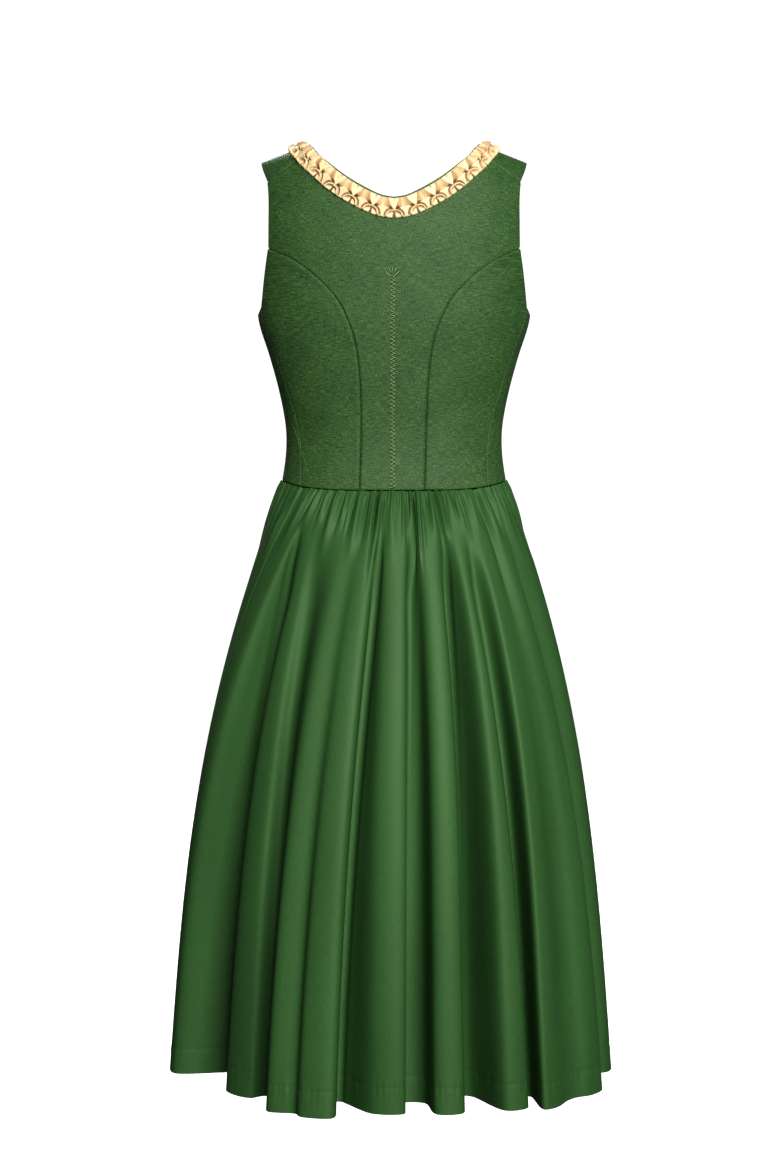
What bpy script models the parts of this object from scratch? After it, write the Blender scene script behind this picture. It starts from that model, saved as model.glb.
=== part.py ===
"""Sleeveless midi dirndl, filled out as worn and hollow: a bodice of six panels, a gathered skirt of two
panels and a pleated ribbon round the neck. Every piece is a closed wall of cloth.

The tables are in millimetres and degrees. The origin is midway between the tops of the two shoulders, +Z is up
and the wearer faces +Y. A bearing goes round the form: 0 is centre back, 90 the wearer's right side (+X),
180 centre front. A spot on the bodice is (across, run): the distance from the centre line, and the height
measured along the cloth, which past a shoulder's ridge goes on down the other side.
"""

import math
from collections import namedtuple
from functools import partial

import bmesh
import bpy
from mathutils import Vector

MM = 0.001
BACK = -1
FRONT = 1

# ---------------------------------------------------------------- cloth and seams
BODICE_WALL = 2.0
SKIRT_WALL = 1.4
SEAM_GAP = 0.34
WAIST_GAP = 0.6

# ---------------------------------------------------------------- the form that the bodice is cut for
ROUNDNESS = 2.3                 # power of the superellipse sections
Level = namedtuple("Level", "height half_width back_depth front_depth")
FORM = [
    Level(-411.0, 135.5, 88.0, 104.0),
    Level(-372.0, 129.8, 83.0, 97.0),
    Level(-340.0, 129.6, 83.0, 96.0),
    Level(-300.0, 136.5, 89.0, 102.0),
    Level(-255.0, 148.5, 96.0, 109.0),
    Level(-215.0, 161.0, 102.0, 110.0),
    Level(-180.0, 165.0, 104.0, 104.0),
    Level(-120.0, 167.0, 103.0, 90.0),
    Level(-60.0, 166.0, 92.0, 76.0),
    Level(20.0, 164.0, 80.0, 66.0),
]
CUP_RISE = 15.0
CUP_ACROSS = 74.0
CUP_HEIGHT = -238.0
CUP_HALF_WIDTH = 40.0
CUP_HALF_HEIGHT = 48.0

SHOULDER_NECK = 95.0            # from here out the shoulders slope down
SHOULDER_SLOPE = 0.39
SHOULDER_ROLL = 60.0            # height over which the cloth rolls over a shoulder

WAIST_HEIGHT = -411.0
WAIST_SIDE_RISE = 10.0          # the waist seam rises to the sides
SIDE_RISE_POWER = 8
SIDE_SEAM_WAIST = 63.0          # bearing where the side seam meets the waist
SEAM_LEAN = -2.6                # the back seams stand this far to the left at the waist
LEAN_TOP = -250.0               # and lean in from this height down

# ---------------------------------------------------------------- seams and edges of the bodice
Spot = namedtuple("Spot", "across run")
BACK_PRINCESS = [
    Spot(38.4, -411.0), Spot(38.4, -355.0), Spot(38.8, -320.0), Spot(40.4, -280.0), Spot(45.6, -240.0),
    Spot(55.4, -210.0), Spot(68.5, -186.0), Spot(92.5, -161.0), Spot(120.0, -141.0), Spot(148.0, -128.0),
]
BACK_ARMHOLE = [
    Spot(148.0, -128.0), Spot(147.8, -98.0), Spot(147.8, -70.0), Spot(149.3, -48.0),
]
BACK_NECK = [
    Spot(0.0, -71.0), Spot(14.0, -68.5), Spot(27.0, -62.8), Spot(44.0, -53.5), Spot(60.0, -42.5),
    Spot(76.0, -28.0), Spot(87.5, -15.5), Spot(93.0, -5.0),
]
BACK_NECK_TO_RIDGE = [Spot(98.0, 6.7), Spot(100.4, 20.0), Spot(101.0, 31.9)]
FRONT_PRINCESS = [
    Spot(46.0, -411.0), Spot(47.0, -370.0), Spot(52.0, -325.0), Spot(63.0, -280.0), Spot(76.0, -238.0),
    Spot(92.0, -196.0), Spot(113.0, -162.0), Spot(141.0, -132.0),
]
FRONT_ARMHOLE = [
    Spot(141.0, -132.0), Spot(138.6, -98.0), Spot(140.0, -64.0), Spot(146.0, -32.0), Spot(154.0, -8.0),
    Spot(157.6, 10.0), Spot(157.4, 30.0), Spot(154.6, 52.0), Spot(149.3, 74.06),
]
FRONT_NECK = [
    Spot(0.0, -178.0), Spot(14.0, -174.0), Spot(30.0, -160.0), Spot(50.0, -134.0), Spot(69.0, -102.0),
    Spot(84.0, -67.0), Spot(94.0, -32.0), Spot(99.0, 0.0), Spot(101.0, 31.9),
]
FRONT_NECK_BEHIND_RIDGE = [Spot(100.4, 44.0), Spot(98.0, 59.4), Spot(93.0, 73.5)]
Station = namedtuple("Station", "bearing height")
UNDERARM_BACK = [Station(73.0, -165.0), Station(75.4, -186.0), Station(77.0, -197.0)]
UNDERARM_FRONT = [
    Station(82.5, -203.5), Station(90.0, -206.0), Station(98.0, -199.0), Station(104.5, -181.0),
    Station(108.5, -158.0),
]

# ---------------------------------------------------------------- counts of rows and columns
PRINCESS_ROWS = 11
BACK_ARMHOLE_ROWS = 7
BACK_CENTRE_ROWS = 14           # rows of the back below its V
FRONT_ARMHOLE_ROWS = 12
FRONT_CENTRE_ROWS = 8           # rows of the front below its V
CENTRE_COLUMNS = 5              # in each half of a centre panel
BACK_SIDE_COLUMNS = 5
FRONT_SIDE_COLUMNS = 8

# ---------------------------------------------------------------- skirt
HEM_HEIGHT = -1117.0
HEM_SIDE_RISE = 6.0             # the hem too hangs a little higher at the sides
HEM_HALF_WIDTH = 264.8
HEM_BACK_DEPTH = 235.0
HEM_FRONT_DEPTH = 226.0
HEM_SHIFT = -3.0                # the hem hangs this far to the left
EARLY_FLARE = 0.61              # share of the flare that comes early, below the waist
FOLD_GROWTH = 1.7               # higher: the folds reach their depth sooner
FOLDS_SET_IN = 0.20             # the folds are shallow above this share of the way down
FOLD_SAMPLES = 2                # columns in each of a fold's four stretches
SKIRT_ROWS = [0.0, 0.05, 0.12, 0.22, 0.35, 0.52, 0.74, 1.0]
# A fold is a crest and the valley to its right, seen from outside. Crest and valley are the bearings of their
# middles at the hem, half and valley_half half their widths in degrees, and out and depth their distances
# outside the skirt's outline there. Waist holds the bearings of the fold's four marks at the waist seam: the
# crest's two sides, then the valley's. Where a crest's side passes the valley's, the cloth doubles back.
Fold = namedtuple("Fold", "crest out half valley depth valley_half waist")
FOLDS = [
    Fold(-84.5, -1.0, 5.0, -74.5, -78.0, 2.2, (-74.5, -51.5, -50.4, -49.2)),
    Fold(-52.5, -36.0, 5.5, -44.5, -56.0, 1.5, (-47.4, -44.4, -42.2, -39.4)),
    Fold(-31.5, 4.0, 1.4, -27.0, 9.0, 0.8, (-29.0, -25.2, -22.6, -20.6)),
    Fold(-19.25, 17.0, 4.25, -19.0, -58.0, 0.9, (-18.0, -9.8, -6.6, -5.6)),
    Fold(-0.7, -8.0, 4.6, 7.5, -60.0, 4.1, (-4.2, 6.8, 10.6, 12.0)),
    Fold(16.3, -3.0, 3.7, 30.8, -84.0, 1.6, (16.4, 25.0, 28.8, 30.4)),
    Fold(34.9, -1.0, 3.2, 46.8, -46.0, 1.1, (34.2, 36.8, 39.8, 42.0)),
    Fold(42.0, 15.0, 2.0, 53.4, 0.0, 1.6, (46.4, 50.6, 54.2, 56.0)),
    Fold(61.5, 8.0, 3.2, 76.0, -28.0, 1.5, (58.6, 60.8, 65.2, 68.0)),
    Fold(85.5, -2.0, 4.5, 97.5, -46.0, 3.0, (74.0, 81.0, 88.0, 93.9)),
    Fold(109.0, -4.0, 4.0, 120.5, -64.0, 2.2, (99.6, 105.6, 111.9, 117.5)),
    Fold(129.0, 2.0, 2.6, 136.0, -28.0, 1.8, (122.5, 126.8, 130.2, 134.1)),
    Fold(144.5, -9.0, 3.6, 155.5, -70.0, 3.2, (138.4, 143.4, 149.1, 154.5)),
    Fold(166.0, 5.0, 3.2, 174.5, -38.0, 1.8, (159.5, 164.0, 168.0, 172.2)),
    Fold(183.0, -7.0, 3.0, 191.0, -55.0, 3.4, (176.8, 181.5, 186.5, 191.8)),
    Fold(203.0, 3.0, 3.8, 213.0, -66.0, 2.4, (197.2, 202.5, 207.5, 212.2)),
    Fold(221.5, -3.0, 2.4, 227.5, -24.0, 1.6, (216.8, 220.8, 224.2, 228.2)),
    Fold(236.5, 1.0, 3.6, 247.5, -58.0, 2.6, (232.8, 237.8, 243.2, 248.8)),
    Fold(257.0, -6.0, 4.0, 266.5, -36.0, 2.8, (254.2, 260.8, 268.2, 276.2)),
]
LEFT_SEAM_FOLD = 0              # the left side seam lies on the crest of this fold
RIGHT_SEAM_FOLD = 8             # and the right one on the wall between this fold's crest and valley

# ---------------------------------------------------------------- ribbon round the neck
TRIM_SETBACK = 1.8              # the neck edge shows this much above the ribbon
TRIM_WIDTH = 24.0
TRIM_THICKNESS = 6.4
TRIM_LIFT = 0.6
TRIM_BEVEL = 2.2
TRIM_STATIONS_BACK = 13         # in each half
TRIM_STATIONS_FRONT = 20
TRIM_CROSS_STEPS = 3

COLOURS = {
    "bodice": ((0.058, 0.150, 0.052), 0.85),
    "skirt": ((0.050, 0.145, 0.048), 0.62),
    "ribbon": ((0.640, 0.400, 0.140), 0.45),
}


# ---------------------------------------------------------------- curves
def smooth_read(rows, column, at):
    """Value of a table's column at a height, on a smooth curve through the rows."""
    heights = [row.height for row in rows]
    values = [getattr(row, column) for row in rows]
    at = min(max(at, heights[0]), heights[-1])
    low = max(i for i in range(len(rows) - 1) if heights[i] <= at)

    def slope(i):
        before = max(i - 1, 0)
        after = min(i + 1, len(rows) - 1)
        return (values[after] - values[before]) / (heights[after] - heights[before])

    span = heights[low + 1] - heights[low]
    part = (at - heights[low]) / span
    square = part * part
    cube = square * part
    return ((2 * cube - 3 * square + 1) * values[low] + (cube - 2 * square + part) * span * slope(low)
            + (3 * square - 2 * cube) * values[low + 1] + (cube - square) * span * slope(low + 1))


def through(marks, steps=16, closed=False):
    """Many points on a smooth curve through a few (centripetal Catmull-Rom)."""
    marks = [Vector(mark) for mark in marks]
    count = len(marks)
    points = []
    for i in range(count if closed else count - 1):
        if closed:
            a, b, c, d = (marks[(i + k) % count] for k in (-1, 0, 1, 2))
        else:
            b, c = marks[i], marks[i + 1]
            a = marks[i - 1] if i > 0 else b + (b - c)
            d = marks[i + 2] if i + 2 < count else c + (c - b)
        t1 = math.sqrt((b - a).length)
        t2 = t1 + math.sqrt((c - b).length)
        t3 = t2 + math.sqrt((d - c).length)
        for k in range(steps):
            t = t1 + (t2 - t1) * k / steps
            ab = a.lerp(b, t / t1)
            bc = b.lerp(c, (t - t1) / (t2 - t1))
            cd = c.lerp(d, (t - t2) / (t3 - t2))
            abc = ab.lerp(bc, t / t2)
            bcd = bc.lerp(cd, (t - t1) / (t3 - t1))
            points.append(abc.lerp(bcd, (t - t1) / (t2 - t1)))
    if not closed:
        points.append(marks[-1])
    return points


def evenly(points, count):
    """count + 1 points at equal distances along a line of points."""
    lengths = [0.0]
    for before, after in zip(points, points[1:]):
        lengths.append(lengths[-1] + (after - before).length)
    result = []
    at = 0
    for k in range(count + 1):
        target = lengths[-1] * k / count
        while at < len(points) - 2 and lengths[at + 1] < target:
            at += 1
        part = (target - lengths[at]) / (lengths[at + 1] - lengths[at])
        result.append(points[at].lerp(points[at + 1], part))
    return result


def trace(marks, count):
    return evenly(through(marks), count)


def coons(bottom, top, left, right):
    """Grid of spots between four edges; bottom and top go left to right, left and right go up."""
    columns = len(bottom) - 1
    rows = len(left) - 1
    grid = []
    for j in range(rows + 1):
        v = j / rows
        line = []
        for i in range(columns + 1):
            u = i / columns
            ruled = left[j].lerp(right[j], u) + bottom[i].lerp(top[i], v)
            corners = bottom[0].lerp(bottom[-1], u).lerp(top[0].lerp(top[-1], u), v)
            line.append(ruled - corners)
        grid.append(line)
    return grid


# ---------------------------------------------------------------- the form
def cup(across, height):
    sideways = (abs(across) - CUP_ACROSS) / CUP_HALF_WIDTH
    upwards = (height - CUP_HEIGHT) / CUP_HALF_HEIGHT
    return CUP_RISE * math.exp(-sideways * sideways - upwards * upwards)


def depth_at(side, across, height):
    """Depth of the form behind or before its side line, without the cups."""
    half_width = smooth_read(FORM, "half_width", height)
    depth = smooth_read(FORM, "back_depth" if side == BACK else "front_depth", height)
    inside = max(0.0, 1.0 - abs(across / half_width) ** ROUNDNESS)
    return depth * inside ** (1.0 / ROUNDNESS)


def shoulder_height(across):
    return -SHOULDER_SLOPE * max(0.0, abs(across) - SHOULDER_NECK)


def ridge_run(across):
    return shoulder_height(across) + (math.pi / 2 - 1.0) * SHOULDER_ROLL


def cloth_point(side, across, run):
    """Point of the form at a spot given from its back or its front."""
    ridge = ridge_run(across)
    if run > ridge:
        side = -side
        run = 2 * ridge - run
    start = shoulder_height(across) - SHOULDER_ROLL
    if run <= start:
        depth = depth_at(side, across, run)
        if side == FRONT:
            depth += cup(across, run)
        return Vector((across, side * depth, run))
    turn = (run - start) / SHOULDER_ROLL
    depth = depth_at(side, across, start) * math.cos(turn)
    return Vector((across, side * depth, start + SHOULDER_ROLL * math.sin(turn)))


def section_reach(bearing, half_width, back_depth, front_depth):
    sine = math.sin(math.radians(bearing))
    cosine = math.cos(math.radians(bearing))
    depth = back_depth if cosine > 0 else front_depth
    total = abs(sine / half_width) ** ROUNDNESS + abs(cosine / depth) ** ROUNDNESS
    return total ** (-1.0 / ROUNDNESS)


def round_point(bearing, height):
    """Point of the form at a bearing and a height."""
    sizes = [smooth_read(FORM, column, height) for column in ("half_width", "back_depth", "front_depth")]
    reach = section_reach(bearing, *sizes)
    across = reach * math.sin(math.radians(bearing))
    depth = -reach * math.cos(math.radians(bearing))
    if depth > 0:
        depth += cup(across, height)
    return Vector((across, depth, height))


def bearing_of(side, across, height):
    return math.degrees(math.atan2(across, -side * depth_at(side, across, height)))


def side_share(bearing):
    """1 at the sides, falling fast to 0 at the front and back."""
    return abs(math.sin(math.radians(bearing))) ** SIDE_RISE_POWER


def waist_height(bearing):
    return WAIST_HEIGHT + WAIST_SIDE_RISE * side_share(bearing)


def lean(height):
    """Sideways shift of the back's seams at a height."""
    down = max(0.0, (LEAN_TOP - height) / (LEAN_TOP - WAIST_HEIGHT))
    return SEAM_LEAN * down * down


def with_normal(place, first, second, step=0.4):
    """Point and outward normal of a surface, from its function of two values."""
    along = place(first + step, second) - place(first - step, second)
    up = place(first, second + step) - place(first, second - step)
    return place(first, second), along.cross(up).normalized()


# ---------------------------------------------------------------- solids
def material(name):
    colour, roughness = COLOURS[name]
    result = bpy.data.materials.get(name)
    if result is None:
        result = bpy.data.materials.new(name)
        result.use_nodes = True
        shader = result.node_tree.nodes["Principled BSDF"]
        shader.inputs["Base Color"].default_value = (*colour, 1.0)
        shader.inputs["Roughness"].default_value = roughness
    return result


def add_object(name, points, faces, finish):
    """Object from points in millimetres and lists of corners."""
    mesh = bpy.data.meshes.new(name)
    mesh.from_pydata([point * MM for point in points], [], faces)
    build = bmesh.new()
    build.from_mesh(mesh)
    bmesh.ops.triangulate(build, faces=build.faces)
    build.to_mesh(mesh)
    build.free()
    mesh.shade_smooth()
    mesh.set_sharp_from_angle(angle=math.radians(40))
    mesh.materials.append(material(finish))
    result = bpy.data.objects.new(name, mesh)
    bpy.context.collection.objects.link(result)
    return result


def edge_shifts(points, faces, gap):
    """How far each point on the outline of a sheet moves in, so that all its edges stand back by gap."""
    uses = {}
    for face in faces:
        for a, b in zip(face, face[1:] + face[:1]):
            uses.setdefault(frozenset((a, b)), []).append((a, b, face))
    inward = {}
    for found in uses.values():
        if len(found) == 2:
            continue
        a, b, face = found[0]
        along = (points[b] - points[a]).normalized()
        middle = sum((points[k] for k in face), Vector()) / len(face) - points[a]
        across = (middle - along * middle.dot(along)).normalized()
        inward.setdefault(a, []).append(across)
        inward.setdefault(b, []).append(across)
    shifts = {}
    for k, (first, second) in inward.items():
        both = first + second
        shifts[k] = both * (gap / max(0.5, 1.0 + first.dot(second)))
    return shifts


def wall(name, sheet, faces, thickness, finish):
    """Closed wall from a sheet: its outer points with their normals, and its faces seen from outside."""
    points = [point for point, normal in sheet]
    for k, shift in edge_shifts(points, faces, SEAM_GAP / 2).items():
        points[k] = points[k] + shift
    inner = [point - normal * thickness for point, (_, normal) in zip(points, sheet)]
    count = len(points)
    every = [list(face) for face in faces] + [[k + count for k in reversed(face)] for face in faces]
    used = set()
    for face in faces:
        used.update(zip(face, face[1:] + face[:1]))
    for a, b in sorted(used):
        if (b, a) not in used:
            every.append([b, a, a + count, b + count])
    return add_object(name, points + inner, every, finish)


def grid_faces(rows, columns, index):
    faces = []
    for j in range(rows):
        for i in range(columns):
            faces.append([index(j, i), index(j, i + 1), index(j + 1, i + 1), index(j + 1, i)])
    return faces


# ---------------------------------------------------------------- bodice
def shoulder_seam(side):
    """Spots of the shoulder seam, neck to armhole, which lies behind the shoulder's ridge."""
    line = evenly([Vector(BACK_NECK[-1]), Vector(BACK_ARMHOLE[-1])], CENTRE_COLUMNS)
    if side == BACK:
        return line
    return [Vector((spot.x, 2 * ridge_run(spot.x) - spot.y)) for spot in line]


def princess_line(side):
    line = trace(BACK_PRINCESS if side == BACK else FRONT_PRINCESS, PRINCESS_ROWS)
    line[0].y = waist_height(bearing_of(side, line[0].x, WAIST_HEIGHT))
    return line


def side_seam():
    top = Vector(UNDERARM_BACK[-1])
    bottom = Vector((SIDE_SEAM_WAIST, waist_height(SIDE_SEAM_WAIST)))
    return evenly([bottom, top], PRINCESS_ROWS)


def centre_spots(side):
    """Grid of spots of half a centre panel, from the centre line and the neck out to the armhole."""
    if side == BACK:
        neck, armhole = BACK_NECK, BACK_ARMHOLE
        straight, armhole_rows = BACK_CENTRE_ROWS, BACK_ARMHOLE_ROWS
    else:
        neck, armhole = FRONT_NECK + FRONT_NECK_BEHIND_RIDGE, FRONT_ARMHOLE
        straight, armhole_rows = FRONT_CENTRE_ROWS, FRONT_ARMHOLE_ROWS
    outer = princess_line(side) + trace(armhole, armhole_rows)[1:]
    top = shoulder_seam(side)
    outer[-1] = top[-1]
    centre = evenly([Vector((0.0, waist_height(0.0))), Vector(neck[0])], straight)
    inner = centre + trace(neck, len(outer) - 1 - straight)[1:]
    inner[-1] = top[0]
    bottom = []
    for k in range(CENTRE_COLUMNS + 1):
        across = outer[0].x * k / CENTRE_COLUMNS
        bottom.append(Vector((across, waist_height(bearing_of(side, across, WAIST_HEIGHT)))))
    return coons(bottom, top, inner, outer), straight


def centre_panel(name, side):
    """Both halves of a centre panel, one below the V and parted above it."""
    spots, straight = centre_spots(side)
    sheet = []
    index = {}
    for hand in (1, -1):
        for j, row in enumerate(spots):
            for i, spot in enumerate(row):
                if hand < 0 and i == 0 and j <= straight:
                    index[hand, j, i] = index[1, j, i]
                    continue
                across = hand * spot.x + (lean(spot.y) if side == BACK else 0.0)
                point, normal = with_normal(partial(cloth_point, side), across, spot.y)
                index[hand, j, i] = len(sheet)
                sheet.append((point, normal * -side))
    faces = []
    for hand in (1, -1):
        half = grid_faces(len(spots) - 1, CENTRE_COLUMNS, lambda j, i: index[hand, j, i])
        outward = hand * side < 0
        faces += half if outward else [face[::-1] for face in half]
    return wall(name, sheet, faces, BODICE_WALL, "bodice")


def side_spots(side):
    """Grid of (bearing, height) of a side panel, from its lower to its higher bearing."""
    princess = []
    for spot in princess_line(side):
        princess.append(Vector((bearing_of(side, spot.x, spot.y), spot.y)))
    seam = side_seam()
    if side == BACK:
        left, right = princess, seam
        columns = BACK_SIDE_COLUMNS
        top = trace([princess[-1]] + UNDERARM_BACK, columns)
    else:
        left, right = seam, princess
        columns = FRONT_SIDE_COLUMNS
        top = trace([seam[-1]] + UNDERARM_FRONT + [princess[-1]], columns)
    bottom = []
    for k in range(columns + 1):
        bearing = left[0].x + (right[0].x - left[0].x) * k / columns
        bottom.append(Vector((bearing, waist_height(bearing))))
    return coons(bottom, top, left, right)


def side_panel(name, side, hand):
    """Side panel on the wearer's right (hand 1) or left (hand -1)."""
    spots = side_spots(side)
    columns = len(spots[0]) - 1
    sheet = []
    for row in spots:
        for i, spot in enumerate(row):
            point, normal = with_normal(round_point, spot.x, spot.y)
            if hand < 0:
                point.x = -point.x
                normal.x = -normal.x
            if side == BACK and i == 0:
                # the edge on the princess seam follows the seam's lean, as the centre panel's edge does
                leaned = point.x + lean(spot.y)
                point, normal = with_normal(partial(cloth_point, side), leaned, spot.y)
            sheet.append((point, normal))
    faces = grid_faces(len(spots) - 1, columns, lambda j, i: j * (columns + 1) + i)
    if hand < 0:
        faces = [face[::-1] for face in faces]
    return wall(name, sheet, faces, BODICE_WALL, "bodice")


def waist_line():
    """Bearings and points of the corners of the bodice's lower edge, once round from 0 to 360."""
    corners = []
    for side in (BACK, FRONT):
        for hand in (1, -1):
            for spot in centre_spots(side)[0][0]:
                across = hand * spot.x + (lean(spot.y) if side == BACK else 0.0)
                corners.append(cloth_point(side, across, spot.y))
            for spot in side_spots(side)[0][1 if side == BACK else 0:]:
                point = round_point(spot.x, spot.y)
                corners.append(Vector((hand * point.x, point.y, point.z)))
    found = {}
    for point in corners:
        bearing = math.degrees(math.atan2(point.x, -point.y)) % 360.0
        found[round(bearing, 3) % 360.0] = point
    line = sorted(found.items())
    return line + [(line[0][0] + 360.0, line[0][1])]


# ---------------------------------------------------------------- skirt
def flare(down):
    return EARLY_FLARE * (1.0 - (1.0 - down) ** 3) + (1.0 - EARLY_FLARE) * down


def skirt_marks(down):
    """Bearing and distance outside the outline of each fold's four marks, at a share of the way down."""
    grown = 1.0 - (1.0 - down) ** FOLD_GROWTH
    set_in = min(down / FOLDS_SET_IN, 1.0)
    deep = grown * set_in * set_in * (3.0 - 2.0 * set_in)
    marks = []
    for fold in FOLDS:
        hems = (fold.crest - fold.half, fold.crest + fold.half,
                fold.valley - fold.valley_half, fold.valley + fold.valley_half)
        outs = (fold.out, fold.out, fold.depth, fold.depth)
        for top, hem, out in zip(fold.waist, hems, outs):
            marks.append((top + (hem - top) * grown, out * deep))
    return marks


def skirt_ring(down):
    """Points of the closed section of the skirt at a share of the way down, seen from above."""
    share = flare(down)
    waist = FORM[0]
    half_width = waist.half_width + (HEM_HALF_WIDTH - waist.half_width) * share
    back_depth = waist.back_depth + (HEM_BACK_DEPTH - waist.back_depth) * share
    front_depth = waist.front_depth + (HEM_FRONT_DEPTH - waist.front_depth) * share
    plan = []
    for bearing, out in skirt_marks(down):
        reach = section_reach(bearing, half_width, back_depth, front_depth) + out
        turn = math.radians(bearing)
        plan.append((reach * math.sin(turn) + HEM_SHIFT * share, -reach * math.cos(turn)))
    ring = []
    for point in through(plan, steps=FOLD_SAMPLES, closed=True):
        bearing = math.degrees(math.atan2(point.x, -point.y))
        top = waist_height(bearing)
        hem = HEM_HEIGHT + HEM_SIDE_RISE * side_share(bearing)
        ring.append(Vector((point.x, point.y, top + (hem - top) * down)))
    return ring


def waist_ring(corners):
    """Top edge of the skirt, on the straight stretches between the corners of the bodice's lower edge."""
    ring = []
    for point in skirt_ring(0.0):
        bearing = math.degrees(math.atan2(point.x, -point.y)) % 360.0
        bearing += 360.0 if bearing < corners[0][0] else 0.0
        for (low, before), (high, after) in zip(corners, corners[1:]):
            if low <= bearing <= high:
                ring.append(before.lerp(after, (bearing - low) / (high - low)) - Vector((0, 0, WAIST_GAP)))
                break
    return ring


def skirt_panels():
    rings = [waist_ring(waist_line())] + [skirt_ring(down) for down in SKIRT_ROWS[1:]]
    count = len(rings[0])
    per_fold = 4 * FOLD_SAMPLES
    left = LEFT_SEAM_FOLD * per_fold + FOLD_SAMPLES // 2
    right = RIGHT_SEAM_FOLD * per_fold + FOLD_SAMPLES + FOLD_SAMPLES // 2
    for name, first, last in (("skirt_back", left, right), ("skirt_front", right, left + count)):
        sheet = []
        for j, ring in enumerate(rings):
            above = rings[max(j - 1, 0)]
            below = rings[min(j + 1, len(rings) - 1)]
            for i in range(first, last + 1):
                along = ring[(i + 1) % count] - ring[(i - 1) % count]
                up = above[i % count] - below[i % count]
                sheet.append((ring[i % count].copy(), along.cross(up).normalized()))
        columns = last - first
        faces = grid_faces(len(rings) - 1, columns, lambda j, i: j * (columns + 1) + i)
        wall(name, sheet, [face[::-1] for face in faces], SKIRT_WALL, "skirt")


# ---------------------------------------------------------------- ribbon
def step_on_form(side, spot, direction, distance):
    """Spot reached by going a short way along the cloth."""
    step = 0.5
    here = cloth_point(side, spot.x, spot.y)
    sideways = (cloth_point(side, spot.x + step, spot.y) - here) / step
    upwards = (cloth_point(side, spot.x, spot.y + step) - here) / step
    ss, su, uu = sideways.dot(sideways), sideways.dot(upwards), upwards.dot(upwards)
    ds, du = direction.dot(sideways), direction.dot(upwards)
    scale = distance / (ss * uu - su * su)
    return Vector((spot.x + scale * (ds * uu - du * su), spot.y + scale * (du * ss - ds * su)))


def trim_rows():
    """The ribbon's lines across, from the centre back round the right shoulder to the centre front."""
    rows = []
    back = trace(BACK_NECK + BACK_NECK_TO_RIDGE, TRIM_STATIONS_BACK)
    front = trace(FRONT_NECK, TRIM_STATIONS_FRONT)[::-1]
    for side, line in ((BACK, back), (FRONT, front[1:])):
        place = partial(cloth_point, side)
        for k, spot in enumerate(line):
            before = line[max(k - 1, 0)]
            after = line[min(k + 1, len(line) - 1)]
            along = place(after.x, after.y) - place(before.x, before.y)
            if abs(spot.x) < 0.01:
                along = Vector((1.0 if side == BACK else -1.0, 0.0, 0.0))
            row = []
            here = spot.copy()
            normal = with_normal(place, here.x, here.y)[1] * -side
            outward = along.cross(normal).normalized()
            for step in range(TRIM_CROSS_STEPS + 1):
                distance = TRIM_SETBACK if step == 0 else TRIM_WIDTH / TRIM_CROSS_STEPS
                here = step_on_form(side, here, outward, distance)
                point, normal = with_normal(place, here.x, here.y)
                normal = normal * -side
                outward = (outward - normal * outward.dot(normal)).normalized()
                row.append((point, normal, outward))
            rows.append(row)
    return rows


def neck_trim():
    """Closed band of the ribbon's reach, with its outer edges bevelled."""
    right = trim_rows()
    sections = []
    for row in right:
        base = [point + normal * TRIM_LIFT for point, normal, _ in row]
        (first, first_normal, out), (last, last_normal, last_out) = row[0], row[-1]
        height = TRIM_LIFT + TRIM_THICKNESS
        shoulder = height - TRIM_BEVEL
        top = [
            last + last_normal * shoulder,
            last + last_normal * height - last_out * TRIM_BEVEL,
            first + first_normal * height + out * TRIM_BEVEL,
            first + first_normal * shoulder,
        ]
        sections.append(base + top)
    left = [[Vector((-p.x, p.y, p.z)) for p in section] for section in sections[1:-1]]
    loop = sections + left[::-1]
    size = len(loop[0])
    points = [point for section in loop for point in section]
    faces = []
    for k in range(len(loop)):
        after = (k + 1) % len(loop)
        for i in range(size):
            other = (i + 1) % size
            faces.append([k * size + i, after * size + i, after * size + other, k * size + other])
    return add_object("neck_trim", points, faces, "ribbon")


def build():
    for old in list(bpy.data.objects):
        bpy.data.objects.remove(old)
    centre_panel("bodice_back_centre", BACK)
    centre_panel("bodice_front_centre", FRONT)
    for hand, word in ((1, "right"), (-1, "left")):
        side_panel("bodice_back_side_" + word, BACK, hand)
        side_panel("bodice_front_side_" + word, FRONT, hand)
    skirt_panels()
    neck_trim()


build()
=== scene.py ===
"""The dirndl's looks: fine cloth shells on the forms of the CAD pieces, a folded ribbon and stitched threads.

Tables are in millimetres and degrees, and MM turns them into the frame's metres when a mesh is made. The frame is
the CAD's: the origin midway between the shoulders, +Z up, the wearer facing +Y. A bearing goes round the form from
0 at centre back through 90 on the wearer's right (+X). A spot on the bodice is (across, run): the distance from
the centre line, and the height along the cloth, which past a shoulder's ridge goes on down the other side.
"""

import math
from collections import namedtuple
from functools import partial

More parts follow.
